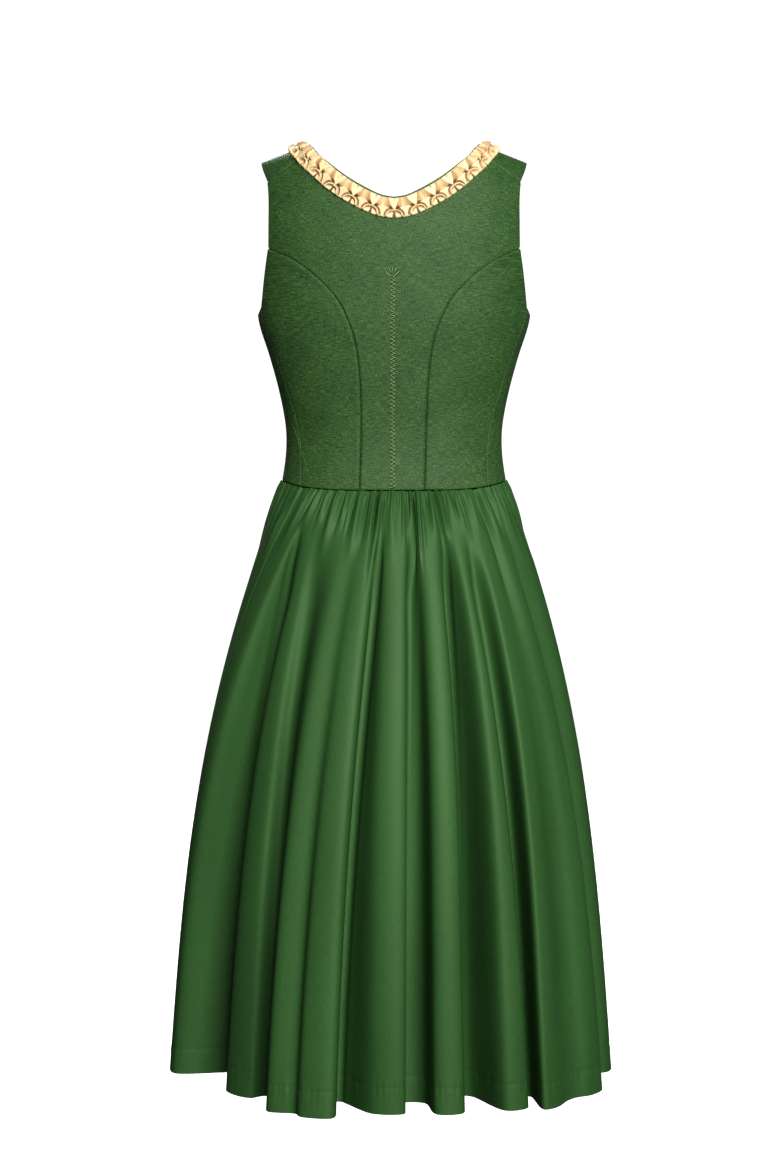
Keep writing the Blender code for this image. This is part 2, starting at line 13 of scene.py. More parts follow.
import bpy
import numpy as np
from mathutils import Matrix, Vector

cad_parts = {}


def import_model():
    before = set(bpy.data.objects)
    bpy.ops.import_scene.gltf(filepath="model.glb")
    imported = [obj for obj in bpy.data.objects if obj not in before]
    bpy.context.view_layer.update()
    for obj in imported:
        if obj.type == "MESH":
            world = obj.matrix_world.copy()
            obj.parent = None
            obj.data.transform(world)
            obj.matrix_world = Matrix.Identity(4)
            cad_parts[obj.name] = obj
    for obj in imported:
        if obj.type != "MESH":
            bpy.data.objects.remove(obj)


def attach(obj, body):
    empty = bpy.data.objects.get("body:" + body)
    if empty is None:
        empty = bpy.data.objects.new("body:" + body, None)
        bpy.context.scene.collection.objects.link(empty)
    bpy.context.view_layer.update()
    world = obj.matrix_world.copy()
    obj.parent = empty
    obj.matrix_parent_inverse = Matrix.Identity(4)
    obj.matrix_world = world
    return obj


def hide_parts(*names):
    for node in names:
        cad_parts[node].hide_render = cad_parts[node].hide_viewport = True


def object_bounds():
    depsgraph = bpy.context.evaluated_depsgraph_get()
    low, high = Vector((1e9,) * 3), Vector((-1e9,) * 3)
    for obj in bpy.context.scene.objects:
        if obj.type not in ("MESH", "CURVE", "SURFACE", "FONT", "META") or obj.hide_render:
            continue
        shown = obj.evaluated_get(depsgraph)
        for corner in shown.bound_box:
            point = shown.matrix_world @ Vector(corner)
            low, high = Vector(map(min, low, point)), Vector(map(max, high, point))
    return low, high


MM = 0.001
BACK = -1
FRONT = 1

# ---------------------------------------------------------------- the form, as in the CAD
ROUNDNESS = 2.3
Level = namedtuple("Level", "height half_width back_depth front_depth")
FORM = [
    Level(-411.0, 135.5, 88.0, 104.0),
    Level(-372.0, 129.8, 83.0, 97.0),
    Level(-340.0, 129.6, 83.0, 96.0),
    Level(-300.0, 136.5, 89.0, 102.0),
    Level(-255.0, 148.5, 96.0, 109.0),
    Level(-215.0, 161.0, 102.0, 110.0),
    Level(-180.0, 165.0, 104.0, 104.0),
    Level(-120.0, 167.0, 103.0, 90.0),
    Level(-60.0, 166.0, 92.0, 76.0),
    Level(20.0, 164.0, 80.0, 66.0),
]
CUP_RISE = 15.0
CUP_ACROSS = 74.0
CUP_HEIGHT = -238.0
CUP_HALF_WIDTH = 40.0
CUP_HALF_HEIGHT = 48.0
SHOULDER_NECK = 95.0
SHOULDER_SLOPE = 0.39
SHOULDER_ROLL = 60.0
WAIST_HEIGHT = -411.0
WAIST_SIDE_RISE = 10.0
SIDE_RISE_POWER = 8
SIDE_SEAM_WAIST = 63.0
SEAM_LEAN = -2.6
LEAN_TOP = -250.0

# ---------------------------------------------------------------- seams and edges of the bodice, as in the CAD
BACK_PRINCESS = [
    (38.4, -411.0), (38.4, -355.0), (38.8, -320.0), (40.4, -280.0), (45.6, -240.0),
    (55.4, -210.0), (68.5, -186.0), (92.5, -161.0), (120.0, -141.0), (148.0, -128.0),
]
BACK_ARMHOLE = [(148.0, -128.0), (147.8, -98.0), (147.8, -70.0), (149.3, -48.0)]
BACK_NECK = [
    (0.0, -71.0), (14.0, -68.5), (27.0, -62.8), (44.0, -53.5), (60.0, -42.5), (76.0, -28.0), (87.5, -15.5),
    (93.0, -5.0),
]
BACK_NECK_TO_RIDGE = [(98.0, 6.7), (100.4, 20.0), (101.0, 31.9)]
FRONT_PRINCESS = [
    (46.0, -411.0), (47.0, -370.0), (52.0, -325.0), (63.0, -280.0), (76.0, -238.0), (92.0, -196.0),
    (113.0, -162.0), (141.0, -132.0),
]
FRONT_ARMHOLE = [
    (141.0, -132.0), (138.6, -98.0), (140.0, -64.0), (146.0, -32.0), (154.0, -8.0), (157.6, 10.0),
    (157.4, 30.0), (154.6, 52.0), (149.3, 74.06),
]
FRONT_NECK = [
    (0.0, -178.0), (14.0, -174.0), (30.0, -160.0), (50.0, -134.0), (69.0, -102.0), (84.0, -67.0),
    (94.0, -32.0), (99.0, 0.0), (101.0, 31.9),
]
FRONT_NECK_BEHIND_RIDGE = [(100.4, 44.0), (98.0, 59.4), (93.0, 73.5)]
UNDERARM_BACK = [(73.0, -165.0), (75.4, -186.0), (77.0, -197.0)]
UNDERARM_FRONT = [(82.5, -203.5), (90.0, -206.0), (98.0, -199.0), (104.5, -181.0), (108.5, -158.0)]

# Rows of the CAD's grids: a fine row keeps its place between them. Each centre panel has its neck and armhole lines,
# the rows up to its V and those along its armhole.
PRINCESS_ROWS = 11
CENTRE_OUTLINES = {
    BACK: (BACK_NECK, BACK_ARMHOLE, 14, 7),
    FRONT: (FRONT_NECK + FRONT_NECK_BEHIND_RIDGE, FRONT_ARMHOLE, 8, 12),
}

# ---------------------------------------------------------------- skirt, as in the CAD
HEM_HEIGHT = -1117.0
HEM_SIDE_RISE = 6.0
HEM_HALF_WIDTH = 264.8
HEM_BACK_DEPTH = 235.0
HEM_FRONT_DEPTH = 226.0
HEM_SHIFT = -3.0
EARLY_FLARE = 0.61
FOLD_GROWTH = 1.7
FOLDS_SET_IN = 0.20             # the folds are shallow above this share of the way down
# crest and valley are bearings at the hem, half and valley_half half their widths in degrees, out and depth how far
# outside the outline they lie; waist has the bearings of the fold's four marks at the waist seam.
Fold = namedtuple("Fold", "crest out half valley depth valley_half waist")
FOLDS = [
    Fold(-84.5, -1.0, 5.0, -74.5, -78.0, 2.2, (-74.5, -51.5, -50.4, -49.2)),
    Fold(-52.5, -36.0, 5.5, -44.5, -56.0, 1.5, (-47.4, -44.4, -42.2, -39.4)),
    Fold(-31.5, 6.0, 2.2, -27.0, 4.0, 0.8, (-29.4, -25.0, -22.6, -20.6)),
    Fold(-19.25, 17.0, 4.25, -19.0, -58.0, 0.9, (-18.0, -9.8, -6.6, -5.6)),
    Fold(-0.7, -8.0, 4.6, 7.5, -60.0, 4.1, (-4.2, 6.8, 10.6, 12.0)),
    Fold(16.3, -3.0, 3.7, 30.8, -84.0, 1.6, (16.4, 25.0, 28.8, 30.4)),
    Fold(34.9, -1.0, 3.2, 46.8, -46.0, 1.1, (34.2, 36.8, 39.8, 42.0)),
    Fold(42.0, 15.0, 2.0, 53.4, 0.0, 1.6, (46.4, 50.6, 54.2, 56.0)),
    Fold(61.5, 8.0, 3.2, 76.0, -28.0, 1.5, (58.6, 60.8, 65.2, 68.0)),
    Fold(85.5, -2.0, 4.5, 97.5, -46.0, 3.0, (74.0, 81.0, 88.0, 93.9)),
    Fold(109.0, -4.0, 4.0, 120.5, -64.0, 2.2, (99.6, 105.6, 111.9, 117.5)),
    Fold(129.0, 2.0, 2.6, 136.0, -28.0, 1.8, (122.5, 126.8, 130.2, 134.1)),
    Fold(144.5, -9.0, 3.6, 155.5, -70.0, 3.2, (138.4, 143.4, 149.1, 154.5)),
    Fold(166.0, 5.0, 3.2, 174.5, -38.0, 1.8, (159.5, 164.0, 168.0, 172.2)),
    Fold(183.0, -7.0, 3.0, 191.0, -55.0, 3.4, (176.8, 181.5, 186.5, 191.8)),
    Fold(203.0, 3.0, 3.8, 213.0, -66.0, 2.4, (197.2, 202.5, 207.5, 212.2)),
    Fold(221.5, -3.0, 2.4, 227.5, -24.0, 1.6, (216.8, 220.8, 224.2, 228.2)),
    Fold(236.5, 1.0, 3.6, 247.5, -58.0, 2.6, (232.8, 237.8, 243.2, 248.8)),
    Fold(257.0, -6.0, 4.0, 266.5, -36.0, 2.8, (254.2, 260.8, 268.2, 276.2)),
]
LEFT_SEAM_FOLD = 0
RIGHT_SEAM_FOLD = 8

# ---------------------------------------------------------------- fine cloth
BODICE_CLOTH = 1.5
SKIRT_CLOTH = 1.0
EDGE_GAP = 0.22                 # half the gap left between two panels
FINE_ROWS = 12                  # fine rows in each row of the CAD's grids
CENTRE_COLUMNS = 52             # in each half of a centre panel
BACK_SIDE_COLUMNS = 40
FRONT_SIDE_COLUMNS = 52
COLUMNS_BUNCHED = 0.72          # how far a panel's columns crowd to its two edges
RIM_SHARE = 0.35                # a cut edge rounds out by this share of the cloth's thickness
SEAM_DIP = 1.7                  # a pressed seam lies this deep
SEAM_HALF_WIDTH = 1.0
SEAM_SWELL = 0.35               # and the seam allowance below lifts the cloth beside it
SEAM_SWELL_AT = 4.5
SEAM_SWELL_WIDTH = 3.0
SHOULDER_SEAM_SHARE = 0.6       # flatter seams, as shares of those
SIDE_SEAM_SHARE = 0.3
SKIRT_SEAM_SHARE = 0.8
LEAN_ACROSS = 0.5               # a back side panel leans with its princess seam over this share of its width
SIDE_CLOTH_START = 40.0         # where a side panel's weave starts, across

CREASE_ENDS = (0.02, 0.98)      # a crease fades by a sine between these shares of its length, to this power
CREASE_FADE = 0.8
# Soft troughs and ridges of the bodice, each from one place to another: start, end, half width, rise.
CREASES = {
    BACK: [
        ((-30.0, -90.0, -395.0), (-120.0, -40.0, -380.0), 6.0, 0.9),
        ((-45.0, -90.0, -372.0), (-118.0, -45.0, -352.0), 7.0, -0.8),
        ((40.0, -88.0, -398.0), (122.0, -45.0, -384.0), 5.0, 0.9),
        ((44.0, -86.0, -378.0), (120.0, -40.0, -366.0), 6.0, -0.9),
        ((-20.0, -88.0, -388.0), (34.0, -88.0, -384.0), 5.0, 0.5),
        ((-30.0, -86.0, -352.0), (28.0, -86.0, -346.0), 7.0, 0.4),
        ((-140.0, -60.0, -150.0), (-80.0, -92.0, -205.0), 12.0, 1.2),
        ((142.0, -60.0, -156.0), (84.0, -92.0, -212.0), 12.0, 1.2),
        ((-40.0, -98.0, -120.0), (44.0, -98.0, -126.0), 10.0, 0.7),
        ((-128.0, -50.0, -300.0), (-70.0, -86.0, -330.0), 10.0, 0.8),
        ((126.0, -50.0, -306.0), (66.0, -86.0, -322.0), 9.0, -0.8),
    ],
    FRONT: [
        ((30.0, 100.0, -392.0), (120.0, 50.0, -380.0), 6.0, 0.9),
        ((-36.0, 100.0, -370.0), (-118.0, 50.0, -350.0), 7.0, 0.9),
        ((-30.0, 100.0, -346.0), (36.0, 100.0, -352.0), 8.0, -0.7),
        ((136.0, 40.0, -160.0), (92.0, 100.0, -215.0), 11.0, 1.3),
        ((-136.0, 40.0, -156.0), (-94.0, 100.0, -208.0), 12.0, 1.2),
        ((100.0, 92.0, -280.0), (50.0, 100.0, -330.0), 12.0, -0.9),
        ((-104.0, 92.0, -286.0), (-56.0, 100.0, -326.0), 10.0, -1.0),
        ((-24.0, 100.0, -232.0), (30.0, 100.0, -238.0), 9.0, 0.8),
    ],
}

SOFT_AT = (0.0, 0.1, 0.25, 0.5, 0.8, 1.0)
SOFT_WIDTHS = (0.4, 3.0, 3.6, 3.4, 2.8, 2.4)    # the skirt's turns are rounded over these, at those shares down
SOFT_SAMPLES = 4096
FOLD_STEPS = 48                 # fine steps in each of a fold's four stretches
BACK_COLUMNS = 590              # columns kept of them, spread by width at the waist and at the hem
FRONT_COLUMNS = 420
WAIST_SHARE = 0.65
GATHER_ZONE = 0.17              # share of the way down that the gathers take
SKIRT_ROWS_TOP = 33             # rows in it, closer together at its top, and rows below it
SKIRT_ROWS_CLOSER = 1.25
SKIRT_ROWS_BELOW = 38
HEM_ROWS_FROM = 42.0            # nearer the hem than this, these heights above it take the place of the even rows
ROWS_ABOVE_HEM = (37.0, 33.5, 31.5, 30.0, 28.5, 26.5, 23.0, 18.0, 12.0, 6.0, 2.2, 0.8)

VALLEY_CREASE = 9.0             # a deep, narrow valley is drawn further in along its bottom
VALLEY_CREASE_HALF = 4.4
VALLEY_CREASE_AT = 0.2          # its place on the valley's floor
VALLEY_CREASE_STARTS = (0.04, 0.18)
VALLEY_DEEP_FROM = 30.0         # a valley less deep than this has none, and one deeper by the span has all of it
VALLEY_DEEP_SPAN = 40.0
VALLEY_FLOOR = 14.0             # and it fades as the floor gets wider than this

HEM_DEEP = 30.0                 # the hem is stitched this far up, in a groove
HEM_GROOVE = 0.28
HEM_GROOVE_HALF = 2.2
PUCKER = 0.22                   # its thread draws the cloth into small puckers of these lengths
PUCKER_WAVES = (7.3, 11.0, 17.5, 29.0)
PUCKER_BELOW = 4.0              # strongest this far below the stitching
PUCKER_HALF = 8.0
PUCKER_SEED = 23

# Creases that start at the waist seam and die away: place across at the back, half width, rise (a groove below 0),
# length, and how many degrees it wanders by its end.
BACK_GATHERS = [
    (-116.5, 1.6, 1.2, 70.0, 0.0), (-107.0, 2.0, -1.2, 60.0, 0.0), (-98.0, 2.6, 1.5, 62.0, 0.0),
    (-90.5, 1.6, -1.3, 40.0, 0.0), (-86.0, 2.2, 1.2, 55.0, 0.0), (-77.0, 3.0, 1.0, 38.0, 0.0),
    (-70.5, 1.8, -1.3, 34.0, 0.0), (-63.5, 3.4, 1.7, 70.0, -0.5), (-56.6, 1.6, -1.7, 44.0, 0.0),
    (-52.7, 1.2, 0.9, 30.0, 0.0), (-48.0, 1.8, 1.3, 32.0, 0.0), (-43.5, 1.5, -1.3, 48.0, 0.0),
    (-37.5, 3.2, 2.0, 66.0, 1.0), (-28.5, 3.4, -2.0, 64.0, 0.0), (-22.2, 1.2, 1.2, 46.0, 0.0),
    (-19.0, 1.2, -2.1, 92.0, 0.0), (-14.8, 2.0, 1.8, 56.0, 0.0), (-10.5, 1.3, -1.2, 42.0, 0.0),
    (-2.5, 4.6, 1.7, 74.0, 0.8), (5.5, 1.4, -1.0, 28.0, 0.0), (9.5, 2.0, 1.2, 58.0, 0.6),
    (14.5, 2.2, -1.7, 50.0, -1.2), (18.0, 1.1, 1.0, 26.0, 0.0), (21.6, 1.4, -2.4, 130.0, -4.0),
    (25.5, 1.3, 1.6, 84.0, -1.5), (29.5, 1.7, 1.5, 70.0, -0.8), (34.8, 2.4, -1.7, 44.0, 0.0),
    (40.3, 2.2, 1.4, 50.0, 0.0), (45.4, 1.6, -2.0, 58.0, 0.6), (49.5, 1.7, 1.5, 52.0, 0.6),
    (53.5, 1.5, -1.6, 46.0, 1.0), (60.0, 2.0, 0.8, 30.0, 0.0), (68.0, 5.0, 1.4, 80.0, 0.5),
    (77.0, 1.8, -1.1, 36.0, 0.0), (85.0, 3.2, 1.3, 52.0, 0.0), (94.0, 2.0, -1.4, 48.0, 0.5),
    (96.5, 4.2, -3.0, 170.0, 0.0), (101.5, 2.4, 1.5, 60.0, 0.5), (107.0, 1.4, -1.5, 56.0, 0.5),
    (111.0, 1.4, 1.2, 50.0, 0.5), (115.0, 1.5, -1.5, 66.0, 0.5), (116.5, 5.0, -2.8, 250.0, 0.0),
    (119.0, 1.6, 1.2, 60.0, 0.0),
]
GATHER_STRENGTH = 2.1
GATHER_PER_DEGREE = 2.3         # a degree of bearing is this far along the back of the waist seam
GATHER_REACH = 1.4              # a crease has died away at this many of its lengths
GATHER_HOLDS = 0.25             # and holds over this share of that
GATHER_SPREAD = 0.9             # it has widened by this share at its end
GATHER_AT_SEAM = 0.45           # its strength at the seam, and how far down it has all of it
GATHER_FULL = 12.0
GROOVE_POWER = 1.2              # a groove is sharper than a ridge
RIDGE_POWER = 2.0
# The other creases are drawn by chance, each value between two: fine ones all round, and wide ones round the sides
# and the front, ridge and groove by turns. step is the way on to the next, in degrees.
Chance = namedtuple("Chance", "half rise length drift step")
FINE_CREASES = Chance((0.4, 0.7), (-1.6, -0.5), (10.0, 50.0), (-0.8, 0.8), (1.6, 4.4))
WIDE_CREASES = Chance((0.9, 2.2), (1.0, 2.0), (30.0, 90.0), (-1.0, 1.0), (1.217625, 3.0440625))
WIDE_BETWEEN = (66.0, 294.0)
GATHER_SEED = 11
SEAM_PUFF = 1.8                 # the gathered cloth stands this far out below the waist seam
SEAM_PUFF_LENGTH = 9.0
SEAM_PUFF_FADES = (20.0, 130.0)
PUFF_LESS_AT_SIDES = 0.9
TUCKED_IN = 0.8                 # all of it is drawn in by this
WAIST_DROP = 0.6                # and its top edge is this far below the seam line

# ---------------------------------------------------------------- threads
THREAD_SIDES = 5
THREAD_TURN = (0.31, 0.52, 0.79)                # a direction that no thread runs in
STITCH_PITCH = 3.1
STITCH_LENGTH = 2.5
STITCH_RADIUS = 0.34
STITCH_LIFT = 0.25
# A stitch at shares of its length: how high it rises, as a share of its lift, and how thick it is.
STITCH_PROFILE = [(0.0, -0.35, 0.45), (0.12, 0.1, 0.85), (0.32, 0.85, 1.0), (0.5, 1.0, 1.0), (0.68, 0.85, 1.0),
                  (0.88, 0.1, 0.85), (1.0, -0.35, 0.45)]
EDGE_STITCH_BACK = 2.4          # how far the edge stitching is from its seam
EDGE_STITCH_ENDS = (0.02, 0.985)                # and where it starts and ends, as shares of the seam
EDGE_STITCH_UP = 0.15           # height above the cloth
SLANT_TOP = (119.0, -338.0)     # the slanting row at the sides: its ends' distance across and height
SLANT_WAIST = (97.5, -400.0)
SLANT_UP = 0.1
HERRINGBONE_MIDDLE = -1.6       # distance across
HERRINGBONE_START = 2.0         # above the waist seam
HERRINGBONE_TOP = -165.2
HERRINGBONE_PITCH = 4.7
HERRINGBONE_HALF = 2.7
HERRINGBONE_SHIFTS = (-0.25, 0.25)              # each stitch is off its place, and wider or narrower, by chance
HERRINGBONE_WIDTHS = (0.85, 1.15)
HERRINGBONE_SEED = 7
EMBROIDERY_RADIUS = 0.30
SHADOW_THREAD_RADIUS = 0.40             # the dark thread under it, laid as the pale stitch's painted shadow
SHADOW_THREAD_LIFT = 0.35
SHADOW_THREAD_SHIFT = 0.27              # how much lower it lies, as a share of the pitch
# The crow's foot: each arm's end across and up, and the height it starts at; its threads' radii, the second for the
# dark thread that is its painted shadow.
CROW_FOOT = [(-8.2, 7.0, 0.0), (8.0, 7.6, 0.0), (-4.2, 11.0, 5.0), (4.0, 11.4, 5.5), (-0.4, 12.4, 6.5)]
CROW_FOOT_RADIUS = 0.36
CROW_FOOT_SHADOW_RADIUS = 0.45

# ---------------------------------------------------------------- ribbon
TRIM_SETBACK = 1.8
TRIM_WIDTH = 24.0
TRIM_PITCH = 25.0
TRIM_STRIP_ROWS = 12
TRIM_STATIONS = {BACK: 180, FRONT: 340}
TRIM_SEED = 5
UNIT_COLUMNS = 46
UNIT_ROWS = 40
TRIM_CLOTH = 0.45               # least height of the ribbon above the bodice
TRIM_UNDERSIDE = 0.25
EDGE_HEIGHT = 0.30              # share of its height that its two edges keep
DOME_MIDDLE = 11.5              # the folds are highest here and fall off up and down
DOME_HALF = 12.5
DOME_FALL = 0.50
KNOT_UP = 9.8                   # height of the knot above the ribbon's lower edge
KNOT_RISE = 5.2
KNOT_HALF_WIDTH = 1.6
KNOT_HALF_HEIGHT = 1.3
FAN_START = 2.0                 # the fan opens from here above the knot
FAN_END = 3.0                   # to here below the upper edge
FAN_FOOT = 1.9                  # half width of the open fan above the knot
FAN_HALF = 7.4                  # and at the ribbon's upper edge
FAN_RISE = 2.2
FOLD_RISE = 7.2                 # height of the fold edges beside the fan
PANEL_FALL = 0.55               # slope from them down to the next unit
TICK_HALF = 0.5                 # a small slit in the upper edge, from here below it
TICK_FROM = 4.2
MOUTH_HALF = 8.3                # the mouth below the knot: an arch of this half width
MOUTH_HEIGHT = 8.0
MOUTH_FOOT = 1.0
MOUTH_ROUNDNESS = 2.3
RIM_RISE = 6.2                  # its rolled rim, placed by shares of the arch
RIM_AT = 0.95
RIM_HALF = 0.13
MOAT_AT = 1.21                  # the groove outside the rim
MOAT_HALF = 0.08
NOTCH_HALF = 1.55               # the slit up from the lower edge, and how it narrows
NOTCH_NARROWS = 0.14
SLIT_HALF = 1.25                # the slits beside the knot, which narrow between these distances from the middle
SLIT_NARROWS = (3.2, 8.8)


# ================================================================ curves and the form
def read_level(column, at):
    """A column of the form's table at many heights, on the CAD's smooth curve."""
    heights = np.array([row.height for row in FORM])
    values = np.array([getattr(row, column) for row in FORM])
    slopes = np.empty_like(values)
    slopes[1:-1] = (values[2:] - values[:-2]) / (heights[2:] - heights[:-2])
    slopes[0] = (values[1] - values[0]) / (heights[1] - heights[0])
    slopes[-1] = (values[-1] - values[-2]) / (heights[-1] - heights[-2])
    at = np.clip(at, heights[0], heights[-1])
    low = np.clip(np.searchsorted(heights, at, side="right") - 1, 0, len(heights) - 2)
    span = heights[low + 1] - heights[low]
    part = (at - heights[low]) / span
    square = part ** 2
    cube = part ** 3
    return ((2 * cube - 3 * square + 1) * values[low] + (cube - 2 * square + part) * span * slopes[low]
            + (3 * square - 2 * cube) * values[low + 1] + (cube - square) * span * slopes[low + 1])


def through(marks, steps=16, closed=False):
    """Many points on a smooth curve through a few (centripetal Catmull-Rom), as in the CAD."""
    marks = np.asarray(marks, float)
    if closed:
        a, b, c, d = (np.roll(marks, shift, axis=0) for shift in (1, 0, -1, -2))
    else:
        first = 2 * marks[0] - marks[1]
        last = 2 * marks[-1] - marks[-2]
        padded = np.vstack([first, marks, last])
        a, b, c, d = padded[:-3], padded[1:-2], padded[2:-1], padded[3:]
    t1, between, after = (np.sqrt(np.linalg.norm(v, axis=-1))[:, None, None] for v in (b - a, c - b, d - c))
    t2 = t1 + between
    t3 = t2 + after
    a, b, c, d = (v[:, None, :] for v in (a, b, c, d))
    t = t1 + (t2 - t1) * (np.arange(steps) / steps)[None, :, None]
    ab = a + (b - a) * (t / t1)
    bc = b + (c - b) * ((t - t1) / (t2 - t1))
    cd = c + (d - c) * ((t - t2) / (t3 - t2))
    abc = ab + (bc - ab) * (t / t2)
    bcd = bc + (cd - bc) * ((t - t1) / (t3 - t1))
    points = (abc + (bcd - abc) * ((t - t1) / (t2 - t1))).reshape(-1, marks.shape[1])
    return points if closed else np.vstack([points, marks[-1]])


def run_along(points):
    """Distance of each point along a line of points."""
    return np.concatenate([[0.0], np.cumsum(np.linalg.norm(np.diff(points, axis=0), axis=1))])


def read_along(values, lengths, at):
    """Rows of values, which are given at lengths along a line, at other lengths along it."""
    return np.stack([np.interp(at, lengths, column) for column in values.T], axis=-1)


def at_shares(points, shares):
    """Points at shares of the length of a line of points."""
    lengths = run_along(points)
    return read_along(points, lengths, shares * lengths[-1])


def even(count):
    """Shares from 0 to 1 in even steps."""
    return np.linspace(0.0, 1.0, count + 1)


def bell(at, middle, half):
    """1 in the middle, dying away on both sides."""
    return np.exp(-((at - middle) / half) ** 2)


def coons(bottom, top, left, right, u, v):
    """Grid of spots between four edges, with u across and v up."""
    u = u[None, :, None]
    v = v[:, None, None]
    ruled = left[:, None] * (1 - u) + right[:, None] * u + bottom[None] * (1 - v) + top[None] * v
    low = bottom[0] * (1 - u) + bottom[-1] * u
    high = top[0] * (1 - u) + top[-1] * u
    return ruled - (low * (1 - v) + high * v)


def cup(across, height):
    """How far the bust lifts the front."""
    return (CUP_RISE * bell(np.abs(across), CUP_ACROSS, CUP_HALF_WIDTH)
            * bell(height, CUP_HEIGHT, CUP_HALF_HEIGHT))


def depth_at(side, across, height):
    half_width = read_level("half_width", height)
    depth = np.where(side == BACK, read_level("back_depth", height), read_level("front_depth", height))
    inside = np.maximum(1.0 - np.abs(across / half_width) ** ROUNDNESS, 0.0)
    return depth * inside ** (1.0 / ROUNDNESS)


def shoulder_height(across):
    return -SHOULDER_SLOPE * np.maximum(0.0, np.abs(across) - SHOULDER_NECK)


def ridge_run(across):
    return shoulder_height(across) + (math.pi / 2 - 1.0) * SHOULDER_ROLL


def cloth_points(side, across, run):
    """Points of the form at spots given from its back or its front."""
    ridge = ridge_run(across)
    side = np.where(run > ridge, -side, side)
    run = np.where(run > ridge, 2 * ridge - run, run)
    start = shoulder_height(across) - SHOULDER_ROLL
    low = np.minimum(run, start)
    depth = depth_at(side, across, low)
    depth = depth + np.where((side == FRONT) & (run <= start), cup(across, run), 0.0)
    turn = np.maximum(run - start, 0.0) / SHOULDER_ROLL
    return np.stack([across + 0 * run, side * depth * np.cos(turn), low + SHOULDER_ROLL * np.sin(turn)], axis=-1)


def plan_of(bearing, reach):
    """Place in plan at a bearing and a distance."""
    turn = np.radians(bearing)
    return reach * np.sin(turn), -reach * np.cos(turn)


def turn_of(x, y):
    """Bearing of a place in plan."""
    return np.degrees(np.arctan2(x, -y))


def section_reach(bearing, half_width, back_depth, front_depth):
    """Distance of a section's outline from its middle."""
    sine, cosine = np.sin(np.radians(bearing)), np.cos(np.radians(bearing))
    depth = np.where(cosine > 0, back_depth, front_depth)
    total = np.abs(sine / half_width) ** ROUNDNESS + np.abs(cosine / depth) ** ROUNDNESS
    return total ** (-1.0 / ROUNDNESS)


def round_points(bearing, height):
    """Points of the form at bearings and heights."""
    sizes = (read_level(name, height) for name in Level._fields[1:])
    reach = section_reach(bearing, *sizes)
    across, depth = plan_of(bearing, reach)
    depth = depth + np.where(depth > 0, cup(across, height), 0.0)
    return np.stack([across, depth, height + 0 * across], axis=-1)


def bearing_of(side, across, height):
    return turn_of(across, side * depth_at(side, across, height))


def side_share(bearing):
    return np.abs(np.sin(np.radians(bearing))) ** SIDE_RISE_POWER


def waist_height(bearing):
    return WAIST_HEIGHT + WAIST_SIDE_RISE * side_share(bearing)


def lean(height):
    """How far the back's seams are off to one side below LEAN_TOP."""
    down = np.maximum(0.0, (LEAN_TOP - height) / (LEAN_TOP - WAIST_HEIGHT))
    return SEAM_LEAN * down ** 2


def leant(side, hand, spots):
    """Distances across of spots on one hand, which lean at the back."""
    return hand * spots[..., 0] + (lean(spots[..., 1]) if side == BACK else 0.0)


def unit(vectors):
    return vectors / np.maximum(np.linalg.norm(vectors, axis=-1, keepdims=True), 1e-9)


def normals_of(place, first, second, step=0.4):
    """Outward normals of a surface, from its function of two values."""
    along = place(first + step, second) - place(first - step, second)
    up = place(first, second + step) - place(first, second - step)
    return unit(np.cross(along, up))


def on_cloth(side, across, run):
    """Points and outward normals of the form at spots of its back or its front."""
    place = partial(cloth_points, side)
    return place(across, run), normals_of(place, across, run) * -side


def dot(a, b):
    return (a * b).sum(-1)


def soft_step(low, high, at):
    part = np.clip((at - low) / (high - low), 0.0, 1.0)
    return part * part * (3 - 2 * part)


# ================================================================ meshes
def quads(index):
    """Faces of a grid of point numbers."""
    faces = np.stack([index[:-1, :-1], index[:-1, 1:], index[1:, 1:], index[1:, :-1]], axis=-1)
    return faces.reshape(-1, 4)


def grid_faces(rows, columns, rows_close=False, columns_close=False):
    """Faces of a grid numbered row by row; where it closes, the last points join on to the first."""
    index = np.arange(rows * columns).reshape(rows, columns)
    if rows_close:
        index = np.vstack([index, index[:1]])
    if columns_close:
        index = np.hstack([index, index[:, :1]])
    return quads(index)


def add_object(name, points, faces, finish):
    """Smooth object from points in metres; faces are lists of corners."""
    mesh = bpy.data.meshes.new(name)
    mesh.from_pydata(points.tolist(), [], faces)
    mesh.shade_smooth()
    mesh.materials.append(finish)
    result = bpy.data.objects.new(name, mesh)
    bpy.context.collection.objects.link(result)
    return result


def add_piece(name, points, faces, finish, uv=None, stands_for=None):
    """Piece of the dress from points in millimetres, and the CAD piece that it stands for."""
    result = add_object(name, points * MM, faces, finish)
    if uv is not None:
        mesh = result.data
        corners = np.empty(len(mesh.loops), dtype=np.int32)
        mesh.loops.foreach_get("vertex_index", corners)
        mesh.uv_layers.new(name="cloth").data.foreach_set("uv", (uv[corners] * MM).ravel())
    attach(result, "root")
    if stands_for:
        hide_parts(stands_for)
    return result


def rim_edges(faces):
    """Edges on the outline of a sheet, each in the direction of its face."""
    a = faces.ravel()
    b = np.roll(faces, -1, axis=1).ravel()
    forward = set(zip(a.tolist(), b.tolist()))
    return np.array([edge for edge in zip(a.tolist(), b.tolist()) if edge[::-1] not in forward])


Cloth = namedtuple("Cloth", "thickness finish slot")


